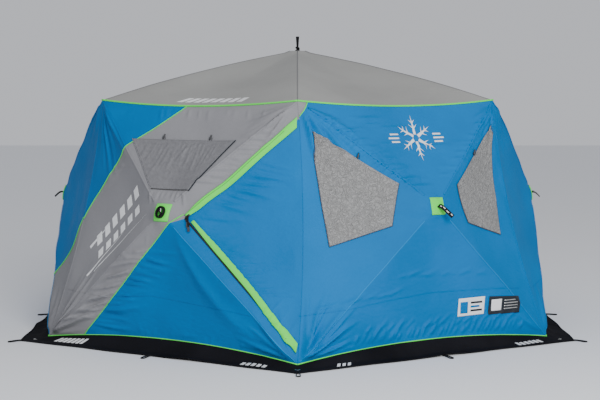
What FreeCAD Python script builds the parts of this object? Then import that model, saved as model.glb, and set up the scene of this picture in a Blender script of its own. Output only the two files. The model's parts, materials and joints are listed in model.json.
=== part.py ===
"""Six-sided hub shelter for ice fishing: fabric walls and roof over sprung poles.

Millimetres. +Z up, origin on the ice in the middle of the floor, one corner towards -Y.
Every wall is drawn once in a wall frame whose +X points out of the wall and whose +Y runs
along it, and is then turned about Z into its place.
"""
import FreeCAD, Part
import math
import os

from FreeCAD import Rotation, Vector

os.makedirs("parts", exist_ok=True)

# ---------------------------------------------------------------- driving dimensions
SIDES = 6
BASE_CORNER_RADIUS = 1800.0     # middle of the floor to a base corner of the walls
BASE_HEIGHT = 15.0              # foot of the walls above the ice
EAVE_CORNER_RADIUS = 1424.0
EAVE_HEIGHT = 1490.0
APEX_HEIGHT = 1820.0
POP_DEPTH = 222.0               # how far a wall hub stands outside its wall plane
HUB_PLANE_HEIGHT = 807.0        # height at which the hub crosses the wall plane
EAVE_SAG = 40.0                 # middle of an eave below its corners
BASE_LIFT = 62.0                # middle of a wall's foot above its corners
SEAM_BOW = 55.0                 # middle of a corner seam inside the line of its ends

FABRIC = 3.0                    # wall and roof cloth with its lining
POLE_RADIUS = 5.5
POLE_END_RADIUS = 7.0
POLE_END_LENGTH = 60.0
POLE_BEHIND_CLOTH = 16.0
UPPER_POLE_FAR_GAP = 0.06       # share of a pole's line left free at its corner
OTHER_POLE_FAR_GAP = 0.05
HUB_POLE_GAP = 90.0             # from a wall hub's middle to the ends of its poles
ROOF_POLE_GAP = 120.0
PIPING_RADIUS = 5.5
PIPING_STEPS = 20               # a cord stops one of twice these steps short of a corner

HUB_RADIUS = 40.0
ROOF_HUB_RADIUS = 52.0
HUB_DISC = 22.0                 # thickness of a hub's disc, which lies behind the cloth
HUB_BOSS = 14.0                 # height of the boss on the back of a hub
HUB_CAP_RADIUS = 14.0
ROOF_HUB_CAP_RADIUS = 18.0
HUB_CAP_HEIGHT = 8.0            # the clamp that comes through the cloth
HUB_STUB_START = 12.0           # sockets for the poles run from here
HUB_STUB_REACH = 40.0           # length of a socket
HUB_STUB_RADIUS = 7.5
HUB_STUB_DEPTH = 5.0            # middle of a socket behind the disc

STRAP_WIDTH = 26.0
STRAP_THICKNESS = 5.0
STRAP_FOOT = 5.0                # the strap starts this far above the hub's middle

BRACKET_RADII = (14.0, 10.0)    # cups in the corners, wide end down
BRACKET_INSET = 35.0
EAVE_BRACKET_HEIGHT = 32.0
EAVE_BRACKET_DROP = 50.0        # foot of an eave cup below the eave corner
BASE_BRACKET_HEIGHT = 20.0
BASE_BRACKET_FOOT = 6.0

SKIRT_CORNER_RADIUS = 1985.0
SKIRT_THICKNESS = 3.0
SKIRT_FLAT_BAND = 110.0         # outer part of the skirt, flat on the ice
GROMMET_INSET = 30.0            # side grommet centre inside the skirt's edge
GROMMET_BORE_RADIUS = 8.0
GROMMET_RING_RADIUS = 15.0
GROMMET_HEIGHT = 5.0
SKIRT_GAP = 12.0                # from the foot of a wall to the skirt's inner edge
SKIRT_SIDE_GAP = 7.0            # the skirt's inner edge beyond a wall's base corner
SKIRT_DROP = 4.0                # the skirt's inner edge below the foot of the wall
SKIRT_LIFT = 50.0               # middle of the skirt's inner edge above its corners
CORNER_GROMMET_INSET = 100.0
CORNER_PLATE_WIDTH = 150.0      # each way from a corner, along the skirt's edge
LOOP_LENGTH = 78.0
LOOP_WIDTH = 22.0
LOOP_CORD = 5.0
LOOP_GAP = 4.0                  # a loop's near end beyond the skirt's edge

WINDOW_FRAME = 22.0             # how far a cover overlaps the cloth round its window
COVER_LIFT = 6.0                # underside of a cover above the cloth
COVER_THICKNESS = 2.0
FILM_THICKNESS = 1.0
FILM_GAP = 2.0                  # the film's edge inside its opening
TOGGLE_RADIUS = 4.5
TOGGLE_LENGTH = 36.0
TOGGLE_LIFT = 13.0              # middle of a toggle above the cloth
TOGGLE_RISE = 16.0              # middle of a toggle above the cover's sewn edge

DOOR_SIDE = 1                   # the door is in the facet to the right of the hub
VERTEX = (0.19, 0.445)          # where the two zips meet, as fraction and share
ZIP_END_FRACTION = 0.985
ZIP_TOP_SHARE = 0.92            # where the upper zip meets the corner seam
ZIP_FOOT_SHARE = 0.058
ZIP_CLEARANCE = 3.0             # cloth of the door short of the zip's centre line
ZIP_LENGTH_SHARE = 0.995        # a tape stops a little short of the corner seam
TAPE_WIDTH = 16.0
HINGE_FRACTION = 0.9            # door hinge line: share of the way from hub to corner seam
HINGE_GAPS = (0.006, 0.004)     # flap and hinge strip short of the hinge line
HINGE_STRIP_END = 0.992
DOOR_TIP_GAP = 12.0             # tip of the door short of the point where the zips meet
HUB_CLOTH_FRACTION = 0.06       # cloth near the hub is its own facet up to here
STORM_FLAP_WIDTH = 44.0
STORM_FLAP_LIFT = 14.0          # its underside above the door
STORM_FLAP_START = 34.0         # from the point where the zips meet
STORM_FLAP_STOP = 28.0          # short of the hinge line
SLIDER_START = 12.0             # closed sliders' distance from that point
SLIDER_LENGTH = 26.0
SLIDER_HALF_WIDTH = 8.0
SLIDER_LIFTS = (3.5, 9.0, 12.0)  # underside, top, and top of the bridge
PULLER_LIFT = 9.6
PULLER_WIDTH = 14.0
TRAILING_PULLER = 56.0
HANGING_PULLER = 78.0

DOOR_WALL = 1
WINDOW_WALL = 2
PLAIN_WALL = 3                  # a wall whose hub sits at its nominal height

SEAM_STEPS = 6
SEAM_GAP = 0.997                # side facets stop this share of the way from hub to seam
EDGE_GAP = 0.985                # the others, and all corners, stop here
POLE_LINE_GAP = 0.9985          # facets are drawn in about their own middle by this
HUB_HOLE_RADIUS = 46.0
ROOF_HOLE_RADIUS = 56.0
CUT_DEPTH = 60.0                # cutting tools reach this far each side of the cloth
# A hub settles a little above or below its nominal height as the cloth stretches.
HUB_SETTLE = {1: -20.0, 2: 20.0, 3: 0.0, 4: 6.0, 5: -8.0, 6: 0.0}

# ---------------------------------------------------------------- worked-out dimensions
HALF_SECTOR = math.pi / SIDES
BASE_APOTHEM = BASE_CORNER_RADIUS * math.cos(HALF_SECTOR)
EAVE_APOTHEM = EAVE_CORNER_RADIUS * math.cos(HALF_SECTOR)
SKIRT_APOTHEM = SKIRT_CORNER_RADIUS * math.cos(HALF_SECTOR)
CORNER_GROMMET_RADIUS = SKIRT_CORNER_RADIUS - CORNER_GROMMET_INSET
SIDE_GROMMET_RADIUS = SKIRT_APOTHEM - GROMMET_INSET
BASE_HALF_SIDE = BASE_CORNER_RADIUS * math.sin(HALF_SECTOR)
EAVE_HALF_SIDE = EAVE_CORNER_RADIUS * math.sin(HALF_SECTOR)
WALL_LEAN = math.atan2(BASE_APOTHEM - EAVE_APOTHEM, EAVE_HEIGHT - BASE_HEIGHT)
WALL_NORMAL = Vector(math.cos(WALL_LEAN), 0, math.sin(WALL_LEAN))
UP = Vector(0, 0, 1)
ALONG = Vector(0, 1, 0)


def corner(side, share):
    """Corner edge of a wall, before it bows in: side -1 left, +1 right; share 0 foot, 1 eave."""
    half = BASE_HALF_SIDE + share * (EAVE_HALF_SIDE - BASE_HALF_SIDE)
    apothem = BASE_APOTHEM + share * (EAVE_APOTHEM - BASE_APOTHEM)
    return Vector(apothem, side * half, BASE_HEIGHT + share * (EAVE_HEIGHT - BASE_HEIGHT))


def seam(side, share):
    """Corner seam of a wall, bowed in towards the middle of the shelter."""
    inward = Vector(-math.cos(HALF_SECTOR), -side * math.sin(HALF_SECTOR), 0)
    return corner(side, share) + inward * (SEAM_BOW * 4 * share * (1 - share))


def hub_point(wall):
    """Where the cloth of a wall would meet over its hub."""
    height = HUB_PLANE_HEIGHT + HUB_SETTLE[wall]
    apothem = BASE_APOTHEM - (height - BASE_HEIGHT) * math.tan(WALL_LEAN)
    return Vector(apothem, 0, height) + WALL_NORMAL * POP_DEPTH


def eave_middle():
    """Lowest point of the sagging eave: down the slope of the wall's upper facet."""
    middle = (corner(-1, 1) + corner(1, 1)) / 2
    slope = (hub_point(PLAIN_WALL) - middle).normalize()
    return middle + slope * EAVE_SAG


def base_middle():
    middle = (corner(-1, 0) + corner(1, 0)) / 2
    slope = (hub_point(PLAIN_WALL) - middle).normalize()
    return middle + slope * BASE_LIFT


def wall_angle(wall):
    """Direction in degrees that a wall faces, seen from above."""
    return -120.0 + 60.0 * (wall - 1)


def turned(shape, angle):
    """A copy turned about Z by an angle in degrees."""
    shape = shape.copy()
    shape.rotate(Vector(0, 0, 0), UP, angle)
    return shape


def place(shape, wall):
    """Turn a shape from the wall frame into its wall's place."""
    return turned(shape, wall_angle(wall))


def save(name, shapes):
    """Write one node: a single solid, or a group of separate solids."""
    solids = [solid for shape in shapes for solid in shape.Solids]
    shape = solids[0] if len(solids) == 1 else Part.makeCompound(solids)
    if not shape.isValid():
        print("INVALID", name)
    shape.exportStep("parts/" + name + ".step")


# ---------------------------------------------------------------- shape helpers
def outline_face(points):
    return Part.Face(Part.makePolygon(points + [points[0]]))


def plate(points, shift):
    """A flat plate: an outline pushed through by shift."""
    return outline_face(points).extrude(shift)


def skin(triangles, shift):
    """A thin closed solid from joined triangles pushed through by shift."""
    directed = {}
    faces = []
    for triangle in triangles:
        moved = [point + shift for point in triangle]
        faces.append(outline_face(list(triangle)))
        faces.append(outline_face(moved[::-1]))
        for index in range(3):
            start = triangle[index]
            end = triangle[(index + 1) % 3]
            directed[key(start), key(end)] = (start, end)
    for (start_key, end_key), (start, end) in directed.items():
        if (end_key, start_key) not in directed:
            faces.append(outline_face([start, end, end + shift, start + shift]))
    solid = Part.Solid(Part.makeShell(faces))
    if solid.Volume < 0:
        solid.reverse()
    return solid


def key(point):
    return (round(point.x, 3), round(point.y, 3), round(point.z, 3))


def fan(centre, rim):
    """Triangles from one centre point to a run of rim points."""
    return [(centre, rim[index], rim[index + 1]) for index in range(len(rim) - 1)]


def ladder(row, next_row):
    """Triangles between two rows of points."""
    triangles = []
    for index in range(len(row) - 1):
        triangles.append((row[index], next_row[index], next_row[index + 1]))
        triangles.append((row[index], next_row[index + 1], row[index + 1]))
    return triangles


def shrink(points, centre, factor):
    return [centre + (point - centre) * factor for point in points]


def arc_points(start, middle, end, count):
    return Part.Arc(start, middle, end).toShape().discretize(count)


def rod(start, end, radius):
    return Part.makeCylinder(radius, (end - start).Length, start, end - start)


def band(points, thickness, width):
    """A strap seen from its side: a run of points in X and Z, made thick and wide."""
    left = []
    right = []
    for index, point in enumerate(points):
        before = points[max(index - 1, 0)]
        after = points[min(index + 1, len(points) - 1)]
        run = (after - before).normalize()
        across = Vector(-run.z, 0, run.x) * (thickness / 2)
        left.append(point + across)
        right.append(point - across)
    outline = [point - ALONG * (width / 2) for point in left + right[::-1]]
    return plate(outline, ALONG * width)


class Slab:
    """A flat strip of the door's surroundings, measured from a line on the door's plane."""

    def __init__(self, start, end, outward, towards):
        self.start = start
        self.along = (end - start).normalize()
        self.length = (end - start).Length
        self.outward = outward
        side = outward.cross(self.along).normalize()
        self.side = side if side.dot(towards - start) > 0 else side * -1

    def point(self, run, width, lift):
        return self.start + self.along * run + self.side * width + self.outward * lift

    def box(self, run, width, lift):
        """A box from its low and high run, width and lift."""
        outline = [
            self.point(run[0], width[0], lift[0]),
            self.point(run[1], width[0], lift[0]),
            self.point(run[1], width[1], lift[0]),
            self.point(run[0], width[1], lift[0]),
        ]
        return plate(outline, self.outward * (lift[1] - lift[0]))


# ---------------------------------------------------------------- walls
def side_point(wall, side, fraction, share):
    """A point on a side facet: fraction from hub to seam, share from foot to eave."""
    hub = hub_point(wall)
    return hub + (seam(side, share) - hub) * fraction


def top_facet(wall):
    hub = hub_point(wall)
    left, middle, right = shrink([corner(-1, 1), eave_middle(), corner(1, 1)], hub, EDGE_GAP)
    return arc_facet(hub, left, middle, right)


def bottom_facet(wall):
    hub = hub_point(wall)
    left, middle, right = shrink([corner(-1, 0), base_middle(), corner(1, 0)], hub, EDGE_GAP)
    return arc_facet(hub, left, middle, right)


def arc_facet(hub, left, middle, right):
    """A flat facet from the hub to an edge that sags or lifts as an arc."""
    rim = arc_points(left, middle_on_plane(hub, left, right, middle), right, SEAM_STEPS + 1)
    centre = (hub + left + right) / 3
    return skin(fan(*drawn_in(hub, rim, centre)), WALL_NORMAL * -FABRIC)


def middle_on_plane(hub, left, right, point):
    """Drop a point onto the plane of a facet, so that the facet stays flat."""
    normal = (left - hub).cross(right - hub).normalize()
    return point - normal * (point - hub).dot(normal)


def drawn_in(hub, rim, centre):
    points = shrink([hub] + rim, centre, POLE_LINE_GAP)
    return points[0], points[1:]


def side_facet(wall, side):
    """A facet that runs from the hub to the bowed corner seam."""
    hub = hub_point(wall)
    shares = [index / SEAM_STEPS for index in range(SEAM_STEPS + 1)]
    rim = [hub + (seam(side, share) - hub) * SEAM_GAP for share in shares]
    rim[0] = hub + (seam(side, 0) - hub) * EDGE_GAP
    rim[-1] = hub + (seam(side, 1) - hub) * EDGE_GAP
    centre = (hub + rim[0] + rim[-1]) / 3
    return skin(fan(*drawn_in(hub, rim, centre)), WALL_NORMAL * -FABRIC)


def hub_opening(wall):
    """The round hole over the hub, where its clamp comes through the cloth."""
    start = hub_point(wall) - WALL_NORMAL * CUT_DEPTH
    return Part.makeCylinder(HUB_HOLE_RADIUS, 2 * CUT_DEPTH, start, WALL_NORMAL)


def through(points, normal):
    """A prism through the cloth, for cutting a window."""
    return plate([point - normal * CUT_DEPTH for point in points], normal * (2 * CUT_DEPTH))


# ---------------------------------------------------------------- windows
class Window:
    """A clear film in a wall facet, and the cover that lies over it."""

    def __init__(self, wall, corners, anchors):
        """corners: along and height on the facet, the hinge edge first; anchors: its plane."""
        self.wall = wall
        normal = (anchors[1] - anchors[0]).cross(anchors[2] - anchors[0]).normalize()
        self.normal = normal if normal.x > 0 else normal * -1
        self.origin = anchors[0]
        self.corners = [self.on_plane(along, height) for along, height in corners]
        self.centre = sum(self.corners, Vector(0, 0, 0)) / len(self.corners)

    def on_plane(self, along, height):
        out = self.normal.y * (along - self.origin.y) + self.normal.z * (height - self.origin.z)
        return Vector(self.origin.x - out / self.normal.x, along, height)

    def grown(self, distance):
        """The outline pushed out by a distance on every side."""
        pushed = []
        count = len(self.corners)
        for index, point in enumerate(self.corners):
            before = (self.corners[index - 1] - point).normalize()
            after = (self.corners[(index + 1) % count] - point).normalize()
            sine = before.cross(after).Length
            pushed.append(point - (before + after) * (distance / sine))
        return pushed

    def hole(self):
        return through(self.corners, self.normal)

    def film(self):
        return plate(self.grown(-FILM_GAP), self.normal * -FILM_THICKNESS)

    def cover(self):
        outline = [point + self.normal * COVER_LIFT for point in self.grown(WINDOW_FRAME)]
        return plate(outline, self.normal * COVER_THICKNESS)

    def toggles(self, shares):
        """Small barrels just above the sewn edge, at shares along it."""
        start, end = self.grown(WINDOW_FRAME)[:2]
        run = (end - start).normalize()
        upward = self.normal.cross(run).normalize()
        upward = upward if upward.z > 0 else upward * -1
        made = []
        for share in shares:
            sewn = start + (end - start) * share
            middle = sewn + upward * TOGGLE_RISE + self.normal * TOGGLE_LIFT
            half = run * (TOGGLE_LENGTH / 2)
            made.append(rod(middle - half, middle + half, TOGGLE_RADIUS))
        return made


def centre_window():
    wall = DOOR_WALL
    outline = [(-320.0, 1232.0), (330.0, 1232.0), (140.0, 985.0), (-105.0, 985.0)]
    return Window(wall, outline, [hub_point(wall), corner(-1, 1), corner(1, 1)])


def side_window(side):
    wall = WINDOW_WALL
    if side < 0:
        outline = [(-625.0, 1275.0), (-205.0, 998.0), (-262.0, 782.0), (-592.0, 682.0)]
    else:
        outline = [(628.0, 1284.0), (262.0, 978.0), (320.0, 772.0), (608.0, 688.0)]
    # The plane touches the bowed cloth just inside the cover's lower and upper ends.
    anchors = [hub_point(wall), seam(side, 0.42), seam(side, 0.89)]
    return Window(wall, outline, anchors)


# ---------------------------------------------------------------- door
class Door:
    def __init__(self):
        wall = DOOR_WALL
        self.hub = hub_point(wall)
        self.eave = corner(DOOR_SIDE, 1)
        self.base = corner(DOOR_SIDE, 0)
        self.outward = (self.base - self.hub).cross(self.eave - self.hub).normalize()
        self.vertex = side_point(wall, DOOR_SIDE, *VERTEX)
        self.head = side_point(wall, DOOR_SIDE, ZIP_END_FRACTION, ZIP_TOP_SHARE)
        self.foot = side_point(wall, DOOR_SIDE, ZIP_END_FRACTION, ZIP_FOOT_SHARE)
        self.upper = Slab(self.vertex, self.head, self.outward, self.eave)
        self.lower = Slab(self.vertex, self.foot, self.outward, self.base)

    def last_share(self, slab, fraction, beyond):
        """Where a column of the door comes up to a zip, found by halving."""
        inside = VERTEX[1]
        for _ in range(30):
            middle = (inside + beyond) / 2
            point = side_point(DOOR_WALL, DOOR_SIDE, fraction, middle)
            if (point - slab.start).dot(slab.side) > -ZIP_CLEARANCE:
                beyond = middle
            else:
                inside = middle
        return inside

    def column(self, fraction):
        """Points from the lower zip up to the upper one, at a fraction from hub to seam."""
        low = self.last_share(self.lower, fraction, 0.0)
        high = self.last_share(self.upper, fraction, 1.0)
        return [
            side_point(DOOR_WALL, DOOR_SIDE, fraction, low + (high - low) * index / SEAM_STEPS)
            for index in range(SEAM_STEPS + 1)
        ]

    def flap(self):
        rim = self.column(HINGE_FRACTION - HINGE_GAPS[0])
        middle = (rim[0] + rim[-1]) / 2
        tip = self.vertex + (middle - self.vertex).normalize() * DOOR_TIP_GAP
        return skin(fan(tip, rim), self.outward * -FABRIC)

    def hinge_strip(self):
        inner = self.column(HINGE_FRACTION + HINGE_GAPS[1])
        outer = self.column(HINGE_STRIP_END)
        return skin(ladder(inner, outer), self.outward * -FABRIC)

    def border(self, slab, end):
        """Wall cloth between a pole line and the zip tape, as two strips."""
        start = self.hub + (end - self.hub) * HUB_CLOTH_FRACTION
        limit = self.hub + (end - self.hub) * EDGE_GAP
        tape_start = slab.point(0, TAPE_WIDTH + 1, 0)
        tape_end = slab.point(slab.length, TAPE_WIDTH + 1, 0)
        centre = (start + limit + tape_start + tape_end) / 4
        start, limit, tape_end, tape_start = shrink(
            [start, limit, tape_end, tape_start], centre, POLE_LINE_GAP
        )
        triangles = [(start, limit, tape_end), (start, tape_end, tape_start)]
        return skin(triangles, self.outward * -FABRIC)

    def hub_corner(self):
        """Wall cloth between the hub and the meeting point of the zips."""
        upper = self.hub + (self.eave - self.hub) * (HUB_CLOTH_FRACTION - 0.002)
        lower = self.hub + (self.base - self.hub) * (HUB_CLOTH_FRACTION - 0.002)
        upper_tape = self.upper.point(-1, TAPE_WIDTH + 1, 0)
        lower_tape = self.lower.point(-1, TAPE_WIDTH + 1, 0)
        middle = self.vertex - (self.vertex - self.hub).normalize() * (TAPE_WIDTH + 6)
        rim = shrink([upper, upper_tape, middle, lower_tape, lower], self.hub, EDGE_GAP)
        return skin(fan(self.hub, rim), self.outward * -FABRIC)

    def zip_tape(self, slab):
        run = (0, slab.length * ZIP_LENGTH_SHARE)
        tape = slab.box(run, (2.0, TAPE_WIDTH), (-2.0, 0.5))
        coil = slab.box(run, (-1.0, 4.0), (0.5, 3.0))
        return tape.fuse(coil)

    def storm_flap(self, slab):
        """A green strip over the zip, folded down to the door along its inner edge."""
        to_hinge = (HINGE_FRACTION - VERTEX[0]) / (ZIP_END_FRACTION - VERTEX[0])
        run = (STORM_FLAP_START, slab.length * to_hinge - STORM_FLAP_STOP)
        half = STORM_FLAP_WIDTH / 2
        cover = slab.box(run, (-half, half), (STORM_FLAP_LIFT, STORM_FLAP_LIFT + 2.0))
        leg = slab.box(run, (-half, 3.0 - half), (1.0, STORM_FLAP_LIFT))
        return cover.fuse(leg)

    def slider(self, slab, hangs):
        """Slider body on the coil; its puller hangs across the zip or trails along it."""
        run = SLIDER_START
        under, top, bridge_top = SLIDER_LIFTS
        wide = (-SLIDER_HALF_WIDTH, SLIDER_HALF_WIDTH)
        body = slab.box((run, run + SLIDER_LENGTH), wide, (under, top))
        bridge = slab.box((run + 8, run + 14), (-3.0, 3.0), (top, bridge_top))
        lifts = (PULLER_LIFT, bridge_top)
        if hangs:
            puller = slab.box((run + 3, run + 3 + PULLER_WIDTH), (-4.0, HANGING_PULLER), lifts)
        else:
            # It lies on the wall's side of the zip, where the swinging door can't reach it.
            puller = slab.box((run - TRAILING_PULLER, run + 12), (-2.0, PULLER_WIDTH - 2.0), lifts)
        return body.fuse(bridge).fuse(puller).removeSplitter()


def make_walls():
    windows = {
        DOOR_WALL: [centre_window()],
        WINDOW_WALL: [side_window(-1), side_window(1)],
    }
    door = Door()
    for wall in range(1, SIDES + 1):
        facets = [top_facet(wall), bottom_facet(wall), side_facet(wall, -1)]
        if wall == DOOR_WALL:
            facets.append(door.border(door.upper, door.eave))
            facets.append(door.border(door.lower, door.base))
            facets.append(door.hub_corner())
        else:
            facets.append(side_facet(wall, 1))
        cut = []
        for facet in facets:
            facet = facet.cut(hub_opening(wall))
            for window in windows.get(wall, []):
                if facet.distToShape(Part.Vertex(window.centre))[0] < 30:
                    facet = facet.cut(window.hole())
            cut.append(facet)
        save("wall_%d_panel" % wall, [place(facet, wall) for facet in cut])


# ---------------------------------------------------------------- hubs, straps and poles
def pole_pair(wall, share, near, far):
    """Two poles of a wall behind its cloth, from near the hub to near two corners."""
    hub = hub_point(wall)
    behind = WALL_NORMAL * -POLE_BEHIND_CLOTH
    poles = []
    for side in (-1, 1):
        reach = corner(side, share) - hub
        run = Vector(reach).normalize()
        start = hub + run * near + behind
        end = hub + reach * (1 - far) + behind
        poles.append(capped_pole(start, end))
    return poles


def capped_pole(start, end):
    run = (end - start).normalize()
    pole = rod(start, end, POLE_RADIUS)
    for tip in (rod(start, start + run * POLE_END_LENGTH, POLE_END_RADIUS),
                rod(end - run * POLE_END_LENGTH, end, POLE_END_RADIUS)):
        pole = pole.fuse(tip)
    return pole


def hub_body(centre, outward, radius, cap_radius, directions):
    """A disc behind the cloth, its clamp through the cloth, and a socket for every pole."""
    back = HUB_DISC + 2.0       # the disc's front face is 2 mm behind the cloth
    body = Part.makeCylinder(radius, HUB_DISC, centre - outward * back, outward)
    cap = Part.makeCylinder(cap_radius, HUB_CAP_HEIGHT, centre - outward * 4.0, outward)
    boss_start = centre - outward * (back + HUB_BOSS)
    boss = Part.makeCylinder(cap_radius + 4.0, HUB_BOSS, boss_start, outward)
    body = body.fuse(cap).fuse(boss)
    for direction in directions:
        start = centre - outward * (back + HUB_STUB_DEPTH) + direction * HUB_STUB_START
        body = body.fuse(rod(start, start + direction * HUB_STUB_REACH, HUB_STUB_RADIUS))
    return body.removeSplitter()


def make_wall_hub(wall):
    hub = hub_point(wall)
    directions = []
    for share in (0, 1):
        for side in (-1, 1):
            reach = corner(side, share) - hub
            directions.append((reach - WALL_NORMAL * reach.dot(WALL_NORMAL)).normalize())
    body = hub_body(hub, WALL_NORMAL, HUB_RADIUS, HUB_CAP_RADIUS, directions)
    save("wall_%d_hub" % wall, [place(body, wall)])

    # Seen from its side, the strap stands out of the hub and hangs down from there.
    strap = [Vector(0, 0, 0), Vector(26, 0, 3), Vector(44, 0, -2), Vector(56, 0, -14),
             Vector(62, 0, -34), Vector(64, 0, -92)]
    foot = hub + WALL_NORMAL * STRAP_FOOT
    shape = band([foot + point for point in strap], STRAP_THICKNESS, STRAP_WIDTH)
    save("wall_%d_pull_strap" % wall, [place(shape, wall)])


def make_wall_poles(wall):
    upper = pole_pair(wall, 1, HUB_POLE_GAP, UPPER_POLE_FAR_GAP)
    lower = pole_pair(wall, 0, HUB_POLE_GAP, OTHER_POLE_FAR_GAP)
    save("wall_%d_poles_upper" % wall, [place(pole, wall) for pole in upper])
    save("wall_%d_poles_lower" % wall, [place(pole, wall) for pole in lower])


def make_roof():
    apex = Vector(0, 0, APEX_HEIGHT)
    gores = []
    for wall in range(1, SIDES + 1):
        rim = arc_points(corner(-1, 1), eave_middle(), corner(1, 1), SEAM_STEPS + 1)
        rim = shrink(rim, apex, EDGE_GAP)
        centre = (apex + rim[0] + rim[-1]) / 3
        gore = skin(fan(*drawn_in(apex, rim, centre)), UP * -FABRIC)
        hole = Part.makeCylinder(ROOF_HOLE_RADIUS, 2 * CUT_DEPTH, apex - UP * CUT_DEPTH, UP)
        gore = gore.cut(hole)
        gores.append(place(gore, wall))
    save("roof_canopy", gores)

    directions = [corner_direction(index) for index in range(SIDES)]
    body = hub_body(apex, UP, ROOF_HUB_RADIUS, ROOF_HUB_CAP_RADIUS, directions)
    save("roof_hub", [body])

    loop = [Vector(0, 0, 0), Vector(1, 0, 24), Vector(-2, 0, 52), Vector(3, 0, 96)]
    foot = apex + UP * STRAP_FOOT
    shape = band([foot + point for point in loop], STRAP_THICKNESS, STRAP_WIDTH)
    save("roof_pull_strap", [shape])

    for name, wall in (("a", 1), ("b", 3), ("c", 5)):
        poles = []
        for side in (-1, 1):
            reach = corner(side, 1) - apex
            run = Vector(reach).normalize()
            start = apex + run * ROOF_POLE_GAP - UP * POLE_BEHIND_CLOTH
            end = apex + reach * (1 - OTHER_POLE_FAR_GAP) - UP * POLE_BEHIND_CLOTH
            poles.append(place(capped_pole(start, end), wall))
        save("roof_poles_" + name, poles)


# ---------------------------------------------------------------- door and window pieces
def make_door():
    door = Door()
    pieces = {
        "door_flap": door.flap(),
        "door_hinge_strip": door.hinge_strip(),
        "door_zip_upper": door.zip_tape(door.upper),
        "door_zip_lower": door.zip_tape(door.lower),
        "storm_flap_upper": door.storm_flap(door.upper),
        "storm_flap_lower": door.storm_flap(door.lower),
        "zip_slider_upper": door.slider(door.upper, False),
        "zip_slider_lower": door.slider(door.lower, True),
    }
    for name, shape in pieces.items():
        save(name, [place(shape, DOOR_WALL)])


def make_windows():
    windows = {
        "centre": (centre_window(), (0.27, 0.73)),
        "left": (side_window(-1), (0.5,)),
        "right": (side_window(1), (0.5,)),
    }
    for name, (window, shares) in windows.items():
        save("window_film_" + name, [place(window.film(), window.wall)])
        save("window_cover_" + name, [place(window.cover(), window.wall)])
        toggles = [place(toggle, window.wall) for toggle in window.toggles(shares)]
        save("cover_toggles_" + name, toggles)


# ---------------------------------------------------------------- piping and corner brackets
def piping(start, middle, end):
    """A round cord along an arc, stopping a little short of both corners."""
    points = arc_points(start, middle, end, 2 * PIPING_STEPS + 1)
    path = Part.Arc(points[1], points[PIPING_STEPS], points[-2]).toShape()
    section = Part.Circle(path.valueAt(path.FirstParameter),
                          path.tangentAt(path.FirstParameter), PIPING_RADIUS)
    pipe = Part.Wire([path]).makePipeShell([Part.Wire([section.toShape()])], True, True)
    return Part.Solid(pipe) if pipe.ShapeType != "Solid" else pipe


def make_piping():
    eaves = []
    feet = []
    for wall in range(1, SIDES + 1):
        eaves.append(place(piping(corner(-1, 1), eave_middle(), corner(1, 1)), wall))
        feet.append(place(piping(corner(-1, 0), base_middle(), corner(1, 0)), wall))
    save("eave_piping", eaves)
    save("base_piping", feet)


def corner_direction(index):
    """Unit vector from the middle to a corner; index 0 is the front corner."""
    angle = math.radians(-90 + 60 * index)
    return Vector(math.cos(angle), math.sin(angle), 0)


def make_brackets():
    """Sewn-in cups at the corners, which the poles' outer ends push against."""
    eave = []
    base = []
    for index in range(SIDES):
        out = corner_direction(index)
        top = out * (EAVE_CORNER_RADIUS - BRACKET_INSET) + UP * (EAVE_HEIGHT - EAVE_BRACKET_DROP)
        foot = out * (BASE_CORNER_RADIUS - BRACKET_INSET) + UP * BASE_BRACKET_FOOT
        eave.append(Part.makeCone(*BRACKET_RADII, EAVE_BRACKET_HEIGHT, top, UP))
        base.append(Part.makeCone(*BRACKET_RADII, BASE_BRACKET_HEIGHT, foot, UP))
    save("eave_corner_brackets", eave)
    save("base_corner_brackets", base)


# ---------------------------------------------------------------- skirt, grommets and loops
def skirt_rim(share):
    """Inner edge of the skirt in the wall frame: share -1 left corner, +1 right corner."""
    along = share * (BASE_HALF_SIDE + SKIRT_SIDE_GAP)
    height = BASE_HEIGHT - SKIRT_DROP + SKIRT_LIFT * (1 - share * share)
    return Vector(BASE_APOTHEM + SKIRT_GAP, along, height)


def skirt_line(share, inset):
    """A line along the flat part of the skirt, an inset inside its edge."""
    apothem = SKIRT_APOTHEM - inset
    return Vector(apothem, share * apothem * math.tan(HALF_SECTOR), SKIRT_THICKNESS)


def skirt_rows(shares):
    return [
        [skirt_rim(share) for share in shares],
        [skirt_line(share, SKIRT_FLAT_BAND) for share in shares],
        [skirt_line(share, 0) for share in shares],
    ]


def skirt_plate(rows, hole):
    triangles = ladder(rows[0], rows[1]) + ladder(rows[1], rows[2])
    return skin(triangles, UP * -SKIRT_THICKNESS).cut(hole)


def make_skirt():
    limit = 1 - CORNER_PLATE_WIDTH / (SKIRT_CORNER_RADIUS * math.sin(HALF_SECTOR))
    shares = [limit * (2 * index / SEAM_STEPS - 1) for index in range(SEAM_STEPS + 1)]
    side = skirt_plate(skirt_rows(shares), grommet_hole(SIDE_GROMMET_RADIUS))

    # The corner plate is drawn towards +X: its right half is the left end of a wall's skirt.
    turn = Rotation(UP, math.degrees(HALF_SECTOR))
    rows = []
    for row in skirt_rows([-limit - 0.004, -1.0]):
        end, middle = [turn.multVec(point) for point in row]
        rows.append([end, middle, Vector(end.x, -end.y, end.z)])
    corner_plate = skirt_plate(rows, grommet_hole(CORNER_GROMMET_RADIUS))

    plates = []
    for index in range(SIDES):
        plates.append(turned(side, wall_angle(1 + index)))
        plates.append(turned(corner_plate, -90 + 60 * index))
    save("snow_skirt", plates)


def grommet_hole(radius):
    foot = Vector(radius, 0, -CUT_DEPTH)
    return Part.makeCylinder(GROMMET_RING_RADIUS + 1.0, 2 * CUT_DEPTH, foot, UP)


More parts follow.
